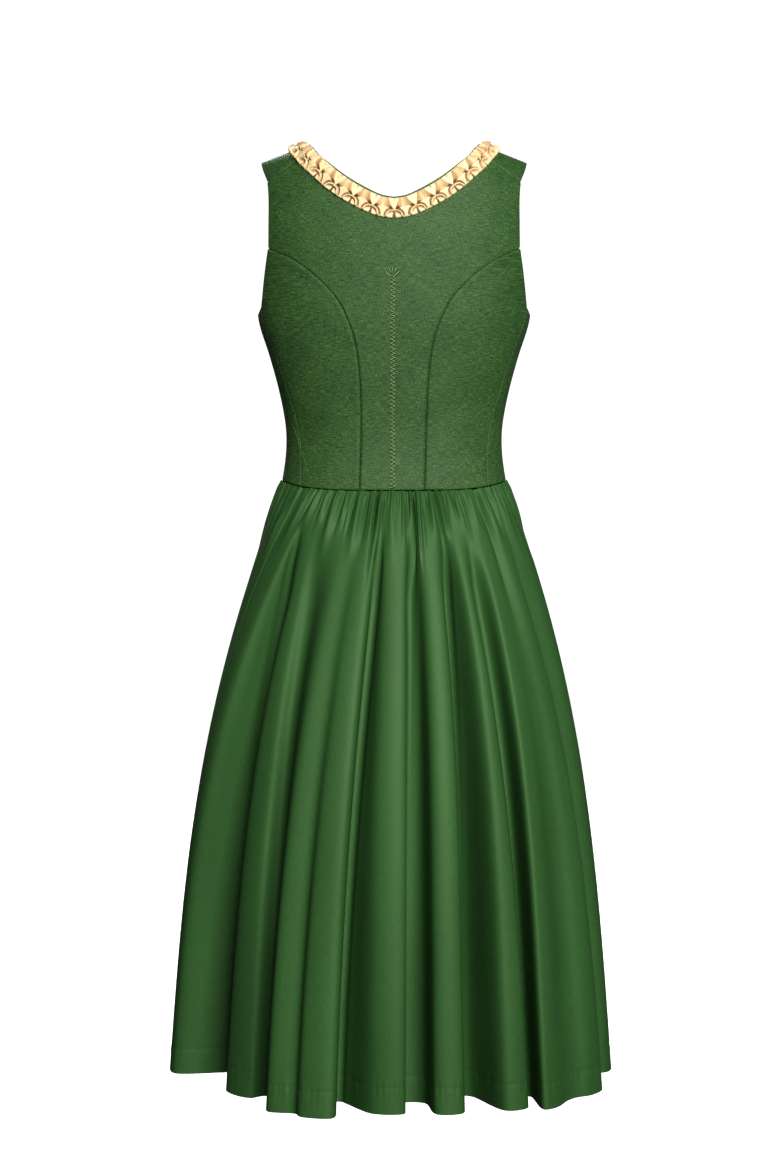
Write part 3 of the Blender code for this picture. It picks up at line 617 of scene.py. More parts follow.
def shell(name, points, normals, faces, uv, cloth):
    """Closed wall of cloth from its outer points, with a rounded edge all round."""
    points, normals, uv = (part.reshape(-1, part.shape[-1]) for part in (points, normals, uv))
    count = len(points)
    edges = rim_edges(faces)
    rim = np.unique(edges)
    away = np.cross(unit(points[edges[:, 1]] - points[edges[:, 0]]), normals[edges[:, 0]])
    outward = np.zeros((count, 3))
    for end in (0, 1):
        np.add.at(outward, edges[:, end], away)
    inner = points - normals * cloth.thickness
    middle = points[rim] + (unit(outward[rim]) * RIM_SHARE - normals[rim] / 2) * cloth.thickness
    middle_of = 2 * count + np.searchsorted(rim, edges)
    upper = np.hstack([edges[:, ::-1], middle_of])
    lower = np.hstack([middle_of[:, ::-1], edges + count])
    every = np.vstack([faces, faces[:, ::-1] + count, upper, lower])
    return add_piece(name, np.vstack([points, inner, middle]), every.tolist(), cloth.finish,
                     np.vstack([uv, uv, uv[rim]]), name)


# ================================================================ bodice
def edge_of(stretches):
    """A panel's long edge from stretches of (line, CAD rows), with FINE_ROWS fine rows to each row."""
    parts = []
    for line, rows in stretches:
        part = at_shares(line, even(rows * FINE_ROWS))
        parts.append(part if not parts else part[1:])
    return np.vstack(parts)


def princess_line(side):
    line = through(BACK_PRINCESS if side == BACK else FRONT_PRINCESS)
    line[0, 1] = waist_height(bearing_of(side, line[0, 0], WAIST_HEIGHT))
    return line


def shoulder_seam(side, shares):
    line = at_shares(np.array([BACK_NECK[-1], BACK_ARMHOLE[-1]]), shares)
    if side == FRONT:
        line[:, 1] = 2 * ridge_run(line[:, 0]) - line[:, 1]
    return line


def close_columns(count):
    """Shares across a panel, closer together by its two edges."""
    shares = even(count)
    return shares - COLUMNS_BUNCHED * np.sin(2 * math.pi * shares) / (2 * math.pi)


def centre_spots(side):
    """Fine spots of half a centre panel, and the row of its V."""
    neck, armhole, straight, armhole_rows = CENTRE_OUTLINES[side]
    rows = PRINCESS_ROWS + armhole_rows
    u = close_columns(CENTRE_COLUMNS)
    outer = edge_of([(princess_line(side), PRINCESS_ROWS), (through(armhole), armhole_rows)])
    middle = np.array([[0.0, waist_height(0.0)], neck[0]])
    inner = edge_of([(middle, straight), (through(neck), rows - straight)])
    top = shoulder_seam(side, u)
    inner[-1], outer[-1] = top[0], top[-1]
    across = outer[0, 0] * u
    bottom = np.stack([across, waist_height(bearing_of(side, across, WAIST_HEIGHT))], axis=1)
    return coons(bottom, top, inner, outer, u, even(rows * FINE_ROWS)), straight * FINE_ROWS


def seam_relief(distance):
    """Height of the cloth near a pressed seam."""
    dip = SEAM_DIP * bell(distance, 0.0, SEAM_HALF_WIDTH)
    return SEAM_SWELL * bell(distance, SEAM_SWELL_AT, SEAM_SWELL_WIDTH) - dip


def creases(points, table):
    """Height of the creases of a table at points of the cloth."""
    relief = np.zeros(points.shape[:-1])
    for start, end, half, rise in table:
        span = np.subtract(end, start)
        along = (points - start) @ span / (span @ span)
        away = np.linalg.norm(points - start - np.clip(along, 0.0, 1.0)[..., None] * span, axis=-1)
        fade = np.sin(math.pi * np.clip(along, *CREASE_ENDS)) ** CREASE_FADE
        relief += rise * fade * bell(away, 0.0, half)
    return relief


def across_run(grid):
    """Distance of each point of a grid from its row's first point, along the row."""
    steps = np.linalg.norm(np.diff(grid, axis=1), axis=-1)
    return np.concatenate([np.zeros((len(grid), 1)), np.cumsum(steps, axis=1)], axis=1)


def up_run(grid):
    return across_run(grid.swapaxes(0, 1)).swapaxes(0, 1)


def pulled_in(grid, gap):
    """The same grid with its outline moved in by a gap along the cloth."""
    result = grid.copy()
    for here, beside in ((np.s_[:, 0], np.s_[:, 1]), (np.s_[:, -1], np.s_[:, -2]), (0, 1), (-1, -2)):
        result[here] += unit(grid[beside] - grid[here]) * gap
    return result


def centre_half(side, hand, spots, straight):
    """Points, normals and cloth coordinates of half a centre panel."""
    across, run = leant(side, hand, spots), spots[..., 1]
    grid, normal = on_cloth(side, across, run)
    along, up = across_run(grid), up_run(grid)
    princess = (np.arange(len(grid)) <= PRINCESS_ROWS * FINE_ROWS)[:, None]
    relief = seam_relief(along[:, -1:] - along) * princess + SHOULDER_SEAM_SHARE * seam_relief(up[-1:] - up)
    relief += creases(grid, CREASES[side])
    moved = pulled_in(grid, EDGE_GAP)
    moved[:straight + 1, 0] = grid[:straight + 1, 0]
    return moved + normal * relief[..., None], normal, np.stack([across, run], axis=-1)


def centre_panel(name, side, cloth):
    """A centre panel: both halves, one below the V and parted above it."""
    spots, straight = centre_spots(side)
    points, normals, uv, faces = [], [], [], []
    count = 0
    middle = None
    for hand in (1, -1):
        fresh = np.ones(spots.shape[:2], bool)
        index = np.empty(fresh.shape, int)
        if middle is not None:
            fresh[:straight + 1, 0] = False
            index[:straight + 1, 0] = middle
        index[fresh] = count + np.arange(fresh.sum())
        middle = index[:straight + 1, 0]
        count += fresh.sum()
        for found, grid in zip((points, normals, uv), centre_half(side, hand, spots, straight)):
            found.append(grid[fresh])
        half = quads(index)
        faces.append(half if hand * side < 0 else half[:, ::-1])
    return shell(name, *(np.vstack(part) for part in (points, normals, faces, uv)), cloth)


def side_spots(side):
    """Fine (bearing, height) grid of a side panel, from its lower to its higher bearing."""
    v = even(PRINCESS_ROWS * FINE_ROWS)
    line = at_shares(princess_line(side), v)
    princess = np.stack([bearing_of(side, line[:, 0], line[:, 1]), line[:, 1]], axis=1)
    seam = at_shares(np.array([[SIDE_SEAM_WAIST, waist_height(SIDE_SEAM_WAIST)], UNDERARM_BACK[-1]]), v)
    if side == BACK:
        left, right = princess, seam
        u = close_columns(BACK_SIDE_COLUMNS)
        top = at_shares(through([princess[-1]] + UNDERARM_BACK), u)
    else:
        left, right = seam, princess
        u = close_columns(FRONT_SIDE_COLUMNS)
        top = at_shares(through([seam[-1]] + UNDERARM_FRONT + [princess[-1]]), u)
    bearing = left[0, 0] + (right[0, 0] - left[0, 0]) * u
    bottom = np.stack([bearing, waist_height(bearing)], axis=1)
    return coons(bottom, top, left, right, u, v), u


def side_panel(name, side, hand, cloth):
    """Side panel on the wearer's right (hand 1) or left (hand -1)."""
    spots, u = side_spots(side)
    bearing, height = spots[..., 0], spots[..., 1]
    mirror = np.array([hand, 1.0, 1.0])
    grid = round_points(bearing, height) * mirror
    normal = normals_of(round_points, bearing, height) * mirror
    if side == BACK:
        # towards the princess seam the panel follows the seam's lean
        share = np.clip(1.0 - u / LEAN_ACROSS, 0.0, 1.0)[None, :] ** 2
        grid[..., 0] += lean(height) * share
        on_form = -depth_at(BACK, grid[..., 0], grid[..., 2])
        grid[..., 1] = np.where(share > 0, on_form, grid[..., 1])
    along = across_run(grid)
    beside = [seam_relief(along), seam_relief(along[:, -1:] - along)]
    beside[1 if side == BACK else 0] *= SIDE_SEAM_SHARE
    relief = sum(beside) + creases(grid, CREASES[side])
    faces = grid_faces(*along.shape)
    return shell(name, pulled_in(grid, EDGE_GAP) + normal * relief[..., None], normal,
                 faces if hand > 0 else faces[:, ::-1],
                 np.stack([hand * (along + SIDE_CLOTH_START), height], axis=-1), cloth)


# ================================================================ skirt
def flare(down):
    return EARLY_FLARE * (1.0 - (1.0 - down) ** 3) + (1.0 - EARLY_FLARE) * down


def skirt_marks(down):
    """Bearing and distance outside the outline of each fold's four marks, as in the CAD."""
    grown = 1.0 - (1.0 - down) ** FOLD_GROWTH
    deep = grown * soft_step(0.0, FOLDS_SET_IN, down)
    marks = []
    for fold in FOLDS:
        hems = (fold.crest - fold.half, fold.crest + fold.half,
                fold.valley - fold.valley_half, fold.valley + fold.valley_half)
        outs = (fold.out, fold.out, fold.depth, fold.depth)
        for top, hem, out in zip(fold.waist, hems, outs):
            marks.append((top + (hem - top) * grown, out * deep))
    return np.array(marks)


def softened(plan, width):
    """A closed outline with its turns rounded: each point is a mean over about this width either side."""
    closed = np.vstack([plan, plan[:1]])
    run = run_along(closed)
    steps = run[-1] * even(SOFT_SAMPLES)
    wave = np.fft.fftfreq(SOFT_SAMPLES, run[-1] / SOFT_SAMPLES)
    keep = np.exp(-2.0 * (math.pi * wave * width) ** 2)
    waves = np.fft.fft(read_along(closed, run, steps)[:-1], axis=0)
    smooth = np.fft.ifft(waves * keep[:, None], axis=0).real
    return read_along(np.vstack([smooth, smooth[:1]]), steps, run[:-1])


def skirt_ring(down):
    """Fine points of the closed section of the skirt at a share of the way down."""
    share = flare(down)
    hem_sizes = (HEM_HALF_WIDTH, HEM_BACK_DEPTH, HEM_FRONT_DEPTH)
    sizes = (waist + (hem - waist) * share for waist, hem in zip(FORM[0][1:], hem_sizes))
    bearing, out = skirt_marks(down).T
    x, y = plan_of(bearing, section_reach(bearing, *sizes) + out)
    plan = through(np.column_stack([x + HEM_SHIFT * share, y]), FOLD_STEPS, closed=True)
    plan = softened(plan, np.interp(down, SOFT_AT, SOFT_WIDTHS))
    bearing = turn_of(*plan.T)
    top = waist_height(bearing)
    hem = HEM_HEIGHT + HEM_SIDE_RISE * side_share(bearing)
    return np.column_stack([plan, top + (hem - top) * down])


def chance_creases(draw, chance, start, end, by_turns=False):
    """Creases drawn by chance from one bearing to another; by turns, every other one is a groove."""
    found = []
    while start < end:
        half, rise, length, drift, step = (draw.uniform(*between) for between in chance)
        found.append((start, half, -rise if by_turns and len(found) % 2 else rise, length, drift))
        start += step
    return found


def gather_list():
    """Every crease below the waist seam, with its bearing: those of the back by table, the rest by chance."""
    draw = np.random.default_rng(GATHER_SEED)
    found = chance_creases(draw, FINE_CREASES, 0.0, 360.0)
    found += chance_creases(draw, WIDE_CREASES, *WIDE_BETWEEN, by_turns=True)
    for across, half, rise, length, drift in BACK_GATHERS:
        found.append((bearing_of(BACK, across, WAIST_HEIGHT), half / GATHER_PER_DEGREE, rise, length, drift))
    return found


def gather_relief(bearing, below):
    """How far the gathers move the cloth out, at bearings of the waist and distances below it."""
    relief = np.zeros(below.shape)
    grow = GATHER_AT_SEAM + (1.0 - GATHER_AT_SEAM) * soft_step(0.0, GATHER_FULL, below)
    for place, half, rise, length, drift in gather_list():
        part = np.clip(below / (GATHER_REACH * length), 0.0, 1.0)
        away = (bearing - place - drift * part + 180.0) % 360.0 - 180.0
        power = GROOVE_POWER if rise < 0 else RIDGE_POWER
        shape = np.exp(-np.abs(away / (half * (1.0 + GATHER_SPREAD * part))) ** power)
        relief += GATHER_STRENGTH * rise * grow * (1.0 - soft_step(GATHER_HOLDS, 1.0, part)) * shape
    return relief


def skirt_rows():
    """Shares of the way down of the fine rows."""
    length = WAIST_HEIGHT - HEM_HEIGHT
    top = GATHER_ZONE * even(SKIRT_ROWS_TOP) ** SKIRT_ROWS_CLOSER
    below = np.linspace(GATHER_ZONE, 1.0, SKIRT_ROWS_BELOW + 1)[1:]
    below = below[(below < 1.0 - HEM_ROWS_FROM / length) | (below == 1.0)]
    return np.sort(np.concatenate([top, below, 1.0 - np.array(ROWS_ABOVE_HEM) / length]))


def valley_crease(closed, shares, fold):
    """How far the cloth is drawn further in along the bottom of a fold's valley, where that is narrow."""
    first, last = (4 * fold + 2) * FOLD_STEPS, (4 * fold + 3) * FOLD_STEPS
    deep = np.clip((FOLDS[fold].out - FOLDS[fold].depth - VALLEY_DEEP_FROM) / VALLEY_DEEP_SPAN, 0.0, 1.0)
    drawn = []
    for row, strength in zip(closed, deep * VALLEY_CREASE * soft_step(*VALLEY_CREASE_STARTS, shares)):
        run = run_along(row)
        floor = run[last] - run[first]
        away = run[:-1] - run[first] - VALLEY_CREASE_AT * floor
        away = (away + run[-1] / 2) % run[-1] - run[-1] / 2
        drawn.append(strength * bell(floor, 0.0, VALLEY_FLOOR) * bell(away, 0.0, VALLEY_CREASE_HALF))
    return np.array(drawn)


def hem_relief(run, height):
    """Groove of the hem's stitching and the puckers below it, at distances round the hem and heights above it."""
    draw = np.random.default_rng(PUCKER_SEED)
    pucker = np.zeros(len(run))
    for wave in PUCKER_WAVES:
        whole = run[-1] / round(run[-1] / wave)
        pucker += draw.uniform(0.6, 1.0) * np.sin(2 * math.pi * run / whole + draw.uniform(0.0, 6.28))
    groove = HEM_GROOVE * bell(height, HEM_DEEP, HEM_GROOVE_HALF)
    return PUCKER * pucker * bell(height, HEM_DEEP - PUCKER_BELOW, PUCKER_HALF) - groove


def skirt_surface():
    """Grid of the skirt's outer points, its normals and its cloth coordinates, all round."""
    shares = skirt_rows()
    grid = np.array([skirt_ring(share) for share in shares])
    closed = np.concatenate([grid, grid[:, :1]], axis=1)
    along = np.roll(grid, -1, axis=1) - np.roll(grid, 1, axis=1)
    normals = unit(np.cross(along, -np.gradient(grid, axis=0)))
    bearing = turn_of(grid[0, :, 0], grid[0, :, 1]) % 360.0
    below = grid[0, :, 2] - grid[..., 2]
    hem_run = run_along(closed[-1])[:-1]
    puff = SEAM_PUFF * (1.0 - PUFF_LESS_AT_SIDES * side_share(bearing)) * soft_step(0.0, SEAM_PUFF_LENGTH, below)
    relief = gather_relief(bearing, below) + puff * (1.0 - soft_step(*SEAM_PUFF_FADES, below)) - TUCKED_IN
    relief += hem_relief(hem_run, grid[..., 2] - grid[-1, :, 2])
    for fold in range(len(FOLDS)):
        relief -= valley_crease(closed, shares, fold)
    moved = grid + normals * relief[..., None]
    moved[0, :, 2] -= WAIST_DROP
    return moved, normals, np.stack([np.broadcast_to(hem_run, below.shape), below], axis=-1)


def spread_columns(grid, first, last, count):
    """Columns from first to last, evenly spread by their width at the waist and at the hem."""
    columns = np.arange(first, last + 1) % grid.shape[1]
    waist = run_along(grid[0, columns])
    hem = run_along(grid[-1, columns])
    spread = WAIST_SHARE * waist / waist[-1] + (1.0 - WAIST_SHARE) * hem / hem[-1]
    chosen = np.unique(np.searchsorted(spread, np.linspace(0.0, 1.0, count), side="left"))
    return columns[np.clip(chosen, 0, len(columns) - 1)]


def skirt_panels(cloth):
    grid, normals, uv = skirt_surface()
    left = int((LEFT_SEAM_FOLD * 4 + 0.5) * FOLD_STEPS)
    right = int((RIGHT_SEAM_FOLD * 4 + 1.5) * FOLD_STEPS)
    result = {}
    for name, first, last, count in (("skirt_back", left, right, BACK_COLUMNS),
                                     ("skirt_front", right, left + grid.shape[1], FRONT_COLUMNS)):
        columns = spread_columns(grid, first, last, count)
        points = pulled_in(grid[:, columns], EDGE_GAP)
        edge = across_run(points)
        relief = SKIRT_SEAM_SHARE * seam_relief(np.minimum(edge, edge[:, -1:] - edge))
        result[name] = shell(name, points + normals[:, columns] * relief[..., None], normals[:, columns],
                             grid_faces(*edge.shape)[:, ::-1], uv[:, columns], cloth)
    return result


# ================================================================ ribbon round the neck
def step_on_form(side, spots, direction, distance):
    """Spots reached by going a short way along the cloth."""
    step = 0.5
    place = partial(cloth_points, side)
    here = place(*spots.T)
    sideways = (place(spots[:, 0] + step, spots[:, 1]) - here) / step
    upwards = (place(spots[:, 0], spots[:, 1] + step) - here) / step
    ss, su, uu = dot(sideways, sideways), dot(sideways, upwards), dot(upwards, upwards)
    ds, du = dot(direction, sideways), dot(direction, upwards)
    scale = distance / (ss * uu - su * su)
    return spots + np.stack([scale * (ds * uu - du * su), scale * (du * ss - ds * su)], axis=1)


def trim_steps():
    """Points and normals of the strip under the ribbon: stations round the neck, and steps across it."""
    back, front = (at_shares(through(line), even(TRIM_STATIONS[side]))
                   for side, line in ((BACK, BACK_NECK + BACK_NECK_TO_RIDGE), (FRONT, FRONT_NECK)))
    strips = []
    for side, here in ((BACK, back), (FRONT, front[-2::-1])):
        edge, normal = on_cloth(side, *here.T)
        along = np.gradient(edge, axis=0)
        along[np.abs(here[:, 0]) < 0.01] = (-side, 0.0, 0.0)
        outward = unit(np.cross(along, normal))
        steps = []
        for step in range(TRIM_STRIP_ROWS + 1):
            here = step_on_form(side, here, outward, TRIM_SETBACK if step == 0 else TRIM_WIDTH / TRIM_STRIP_ROWS)
            point, normal = on_cloth(side, *here.T)
            outward = unit(outward - normal * dot(outward, normal)[:, None])
            steps.append((point, normal))
        strips.append(np.array(steps).transpose(1, 2, 0, 3))
    right = np.concatenate(strips, axis=1)
    return np.concatenate([right, right[:, -2:0:-1] * (-1.0, 1.0, 1.0)], axis=1)


class Strip:
    """The strip of bodice that the ribbon lies on, read at (distance round, distance across)."""

    def __init__(self):
        self.points, self.normals = trim_steps()
        middle = self.points[:, TRIM_STRIP_ROWS // 2]
        self.lengths = run_along(np.vstack([middle, middle[:1]]))
        self.total = self.lengths[-1]

    def read(self, around, across):
        around = np.mod(around, self.total)
        station = np.interp(around, self.lengths, np.arange(len(self.lengths)))
        low = np.floor(station).astype(int) % len(self.points)
        high = (low + 1) % len(self.points)
        part = (station - np.floor(station))[..., None]
        row = np.clip(across / TRIM_WIDTH * TRIM_STRIP_ROWS, 0.0, TRIM_STRIP_ROWS - 1e-6)
        under = np.floor(row).astype(int)
        share = (row - under)[..., None]

        def blend(values):
            first = values[low, under] * (1 - share) + values[low, under + 1] * share
            second = values[high, under] * (1 - share) + values[high, under + 1] * share
            return first * (1 - part) + second * part

        return blend(self.points), unit(blend(self.normals))


def smooth_max(a, b, soft=0.35):
    return 0.5 * (a + b + np.sqrt((a - b) ** 2 + soft ** 2))


def upper_folds(x, y, jitter):
    """The fan and the folds beside it: their height, the slit in the upper edge and the distance beyond the fan."""
    side, hand = np.abs(x), np.sign(x)
    dome = 1.0 - DOME_FALL * np.minimum(np.abs((y - DOME_MIDDLE) / DOME_HALF), 1.0) ** 2
    opened = np.clip((y - KNOT_UP - FAN_START) / (TRIM_WIDTH - FAN_END - KNOT_UP - FAN_START), 0.0, 1.0)
    beyond = side - FAN_FOOT - (FAN_HALF - FAN_FOOT) * opened ** 0.8
    fold = FOLD_RISE * dome * (1 + 0.07 * jitter[0] * hand)
    panel = fold - PANEL_FALL * np.maximum(beyond, 0.0) * dome
    fan = FAN_RISE + 0.04 * (y - KNOT_UP) + 0.16 * np.maximum(2.0 - side, 0.0)
    height = fan + (panel - fan) * soft_step(-0.8, 0.5, beyond)
    tick_start = TRIM_WIDTH - TICK_FROM
    tick = bell(x, 0.0, TICK_HALF) * soft_step(tick_start, tick_start + 1.0, y) * (jitter[3] > -0.6)
    return height * (1 - 0.8 * tick), tick, beyond


def mouth(x, y, jitter):
    """The part below the knot: its height, share of the arch, rolled rim, groove outside the rim and notch."""
    arch = (np.abs(x / MOUTH_HALF) ** MOUTH_ROUNDNESS
            + np.abs((y - MOUTH_FOOT) / MOUTH_HEIGHT) ** MOUTH_ROUNDNESS) ** (1 / MOUTH_ROUNDNESS)
    roll = np.clip(1.0 - np.abs((arch - RIM_AT) / RIM_HALF) ** 2.8, 0.0, 1.0)
    rim = RIM_RISE * (1 + 0.06 * jitter[1] * np.sign(x)) * np.sqrt(roll)
    floor = 1.4 + 1.6 * (1.0 - np.clip(y / KNOT_UP, 0.0, 1.0))
    strip = 2.4 + 0.22 * y
    inside = soft_step(1.0, 0.9, arch)
    moat = bell(arch, MOAT_AT, MOAT_HALF) * soft_step(0.5, 2.5, y)
    notch = np.exp(-(x / (NOTCH_HALF - NOTCH_NARROWS * y)) ** 4) * soft_step(7.0, 6.0, y)
    height = smooth_max(floor * inside + strip * (1 - inside), rim, 0.2) * (1 - 0.75 * moat) * (1 - notch)
    return height, arch, roll * (arch > 0.84), moat, notch * inside


def ribbon_unit(x, y, jitter):
    """Height of one folded unit, the painted shadow in its slits and the painted warm shade in its hollows and beside
    its fan; x from the middle, y up.
    """
    side, hand = np.abs(x), np.sign(x)
    upper, tick, beyond = upper_folds(x, y, jitter)
    lower, arch, roll, moat, notch = mouth(x, y, jitter)
    line = KNOT_UP + 0.5 + 0.18 * side
    share = soft_step(line - 1.0, line + 0.7, y)
    knot = KNOT_RISE * bell(x, 0.0, KNOT_HALF_WIDTH) * bell(y, KNOT_UP, KNOT_HALF_HEIGHT)
    height = smooth_max(lower * (1 - share) + upper * share, knot, 0.2)
    slit_half = np.maximum(SLIT_HALF * (1 - soft_step(*SLIT_NARROWS, side)), 0.08)
    slit = bell(y, line + 0.3, slit_half) * soft_step(1.1, 2.0, side) * (1 - soft_step(7.0, 8.6, side))
    height = height * (1 - 0.92 * slit)
    edge = soft_step(0.0, 0.9, y) * soft_step(TRIM_WIDTH, TRIM_WIDTH - 0.8, y)

    # Painted shadow: the slits beside the knot, the notch, the tick in the upper edge and the groove outside the rim
    # are painted dark.
    moat = moat * (y < line)
    dark = np.maximum.reduce([slit, notch, 0.8 * tick, 0.85 * moat])
    # Painted warm shade: the hollow under the rim inside the mouth, the facets beside the fan (one side darker than
    # the other by chance), the fold edges above the knot and the groove outside the rim; none on the rim itself.
    under = soft_step(0.92, 0.80, arch) * soft_step(0.45, 0.78, arch) * soft_step(2.0, 4.5, y) * (1 - share)
    painted_facet_shade = (0.66 + 0.2 * hand * jitter[2]) * soft_step(-0.4, 0.6, beyond) * (1 - 0.5 * soft_step(8.8, 9.6, side))
    painted_facet_shade = painted_facet_shade + 0.4 * soft_step(1.6, 0.0, np.abs(beyond)) * soft_step(line + 5.5, line + 1.0, y)
    painted_warm_shade = np.clip(np.maximum.reduce([0.95 * under, painted_facet_shade * share, moat]), 0.0, 1.0)
    return TRIM_CLOTH + height * (EDGE_HEIGHT + (1 - EDGE_HEIGHT) * edge), dark, painted_warm_shade * (1 - roll)


def neck_trim(finish):
    """The ribbon: one strip of folded units round the whole neck."""
    strip = Strip()
    units = round(strip.total / TRIM_PITCH)
    pitch = strip.total / units
    draw = np.random.default_rng(TRIM_SEED)
    columns = np.arange(UNIT_COLUMNS) / UNIT_COLUMNS - 0.5
    x, y = np.meshgrid(columns * TRIM_PITCH, TRIM_WIDTH * even(UNIT_ROWS), indexing="ij")
    sections, maps, painted_shades = [], [], []
    for k in range(units):
        jitter = draw.uniform(-1.0, 1.0, 4)
        ease = np.cos(math.pi * x / TRIM_PITCH)
        skewed = x + ease * (0.5 * jitter[2] + 0.04 * jitter[3] * (y - KNOT_UP))
        height, dark, painted_warm_shade = ribbon_unit(skewed, y, jitter)
        around = (k + columns[:, None] + 0 * y) * pitch
        point, normal = strip.read(around, TRIM_WIDTH - y)
        base = point[:, [-1, 0]] + normal[:, [-1, 0]] * TRIM_UNDERSIDE
        sections.append(np.concatenate([point + normal * height[..., None], base], axis=1))
        maps.append(np.stack([around, y], axis=-1))
        painted_shades.append(np.stack([dark, painted_warm_shade], axis=-1))
    rows, maps, painted_shades = (np.vstack(part) for part in (sections, maps, painted_shades))
    maps, painted_shades = (np.concatenate([part, part[:, [-1, 0]]], axis=1).reshape(-1, 2) for part in (maps, painted_shades))
    faces = grid_faces(*rows.shape[:2], rows_close=True, columns_close=True)[:, ::-1]
    result = add_piece("neck_trim_ribbon", rows.reshape(-1, 3), faces.tolist(), finish, maps, "neck_trim")
    # the painted shadow (dark) and the painted warm shade go on the mesh as point attributes
    for name, painted_shade in zip(("dark", "painted_warm_shade"), painted_shades.T):
        layer = result.data.attributes.new(name, "FLOAT", "POINT")
        layer.data.foreach_set("value", painted_shade.astype(np.float32))
    return result


# ================================================================ threads
def tube(points, radius):
    """Points and faces of a round thread along a line of points, closed at both ends; radius varies along it."""
    along = unit(np.gradient(points, axis=0))
    first = unit(np.cross(along, THREAD_TURN))
    second = np.cross(along, first)
    turn = (2 * math.pi * np.arange(THREAD_SIDES) / THREAD_SIDES)[None, :, None]
    ring = first[:, None] * np.cos(turn) + second[:, None] * np.sin(turn)
    body = (points[:, None] + ring * radius[:, None, None]).reshape(-1, 3)
    faces = grid_faces(len(points), THREAD_SIDES, columns_close=True).tolist()
    faces.append(list(range(THREAD_SIDES))[::-1])
    faces.append(list(range(len(body) - THREAD_SIDES, len(body))))
    return body, faces


class Threads:
    """Many short threads gathered into one piece."""

    def __init__(self):
        self.points, self.faces, self.count = [], [], 0

    def stitch(self, start, end, normal, radius=STITCH_RADIUS, lift=STITCH_LIFT):
        """A stitch that comes up at start and goes down at end."""
        share, rise, thick = np.array(STITCH_PROFILE).T
        line = start + (end - start) * share[:, None] + normal * lift * rise[:, None]
        body, faces = tube(line, radius * thick)
        self.faces += [[k + self.count for k in face] for face in faces]
        self.points.append(body)
        self.count += len(body)

    def seam(self, line, normals):
        """A row of stitches along a line on the cloth."""
        lengths = run_along(line)
        count = int(lengths[-1] / STITCH_PITCH)
        for k in range(count):
            ends = np.array([k, k + STITCH_LENGTH / STITCH_PITCH]) * lengths[-1] / count
            self.stitch(*read_along(line, lengths, ends), unit(read_along(normals, lengths, ends.mean())))

    def piece(self, name, finish):
        return add_piece(name, np.vstack(self.points), self.faces, finish)


def embroidery(pale_finish, shadow_finish):
    """Herringbone stitches up the centre back, ending in a crow's foot, each pale stitch with a dark thread just
    below it as its painted shadow.
    """
    pale, dark = Threads(), Threads()
    low = WAIST_HEIGHT + HERRINGBONE_START
    count = round((HERRINGBONE_TOP - low) / HERRINGBONE_PITCH)
    pitch = (HERRINGBONE_TOP - low) / count
    draw = np.random.default_rng(HERRINGBONE_SEED)

    def stroke(threads, x0, z0, x1, z1, lift, radius):
        across = np.array([x0, x1]) + HERRINGBONE_MIDDLE
        points, normals = on_cloth(BACK, across, np.array([z0, z1]))
        threads.stitch(points[0], points[1], normals.mean(axis=0), radius, lift)

    for k in range(count):
        z = low + k * pitch + draw.uniform(*HERRINGBONE_SHIFTS)
        half = HERRINGBONE_HALF * draw.uniform(*HERRINGBONE_WIDTHS)
        for x, up, lift in ((half, 0.0, 0.5), (-half, 0.5, 0.8)):
            stroke(pale, -x, z + up * pitch, x, z + (up + 0.5) * pitch, lift, EMBROIDERY_RADIUS)
            # the dark thread a little below each pale stitch is its painted shadow
            under = z + (up - SHADOW_THREAD_SHIFT) * pitch
            stroke(dark, -x, under, x, under + 0.5 * pitch, SHADOW_THREAD_LIFT, SHADOW_THREAD_RADIUS)
    foot = HERRINGBONE_TOP + 0.5
    for x, rise, start in CROW_FOOT:
        stroke(pale, 0.1 * x * start, foot + start, x, foot + rise, 0.6, CROW_FOOT_RADIUS)
        # the crow's foot's dark strokes, a little lower and to one side, are its painted shadow
        stroke(dark, 0.1 * x * start + 0.9, foot + start - 0.8, x + 0.9, foot + rise - 0.8, SHADOW_THREAD_LIFT,
               CROW_FOOT_SHADOW_RADIUS)
    return pale.piece("back_embroidery", pale_finish), dark.piece("back_embroidery_shadow", shadow_finish)


def seam_stitches(finish, pale_finish):
    """Edge stitching inside the princess seams, and a slanting row at each side of the waist."""
    threads, pale = Threads(), Threads()
    for side in (BACK, FRONT):
        line = at_shares(princess_line(side), np.linspace(*EDGE_STITCH_ENDS, 160))
        inner = line + unit(np.gradient(line, axis=0))[:, ::-1] * (-1.0, 1.0) * EDGE_STITCH_BACK
        for hand in (1, -1):
            points, normal = on_cloth(side, leant(side, hand, inner), inner[:, 1])
            threads.seam(points + normal * EDGE_STITCH_UP, normal)
    across, height = np.linspace(SLANT_TOP, SLANT_WAIST, 30).T
    bearing = bearing_of(BACK, across, height)
    line, normal = round_points(bearing, height), normals_of(round_points, bearing, height)
    for hand in (1, -1):
        mirror = np.array([hand, 1.0, 1.0])
        pale.seam((line + normal * SLANT_UP) * mirror, normal * mirror)
    return threads.piece("seam_stitches", finish), pale.piece("side_stitches", pale_finish)


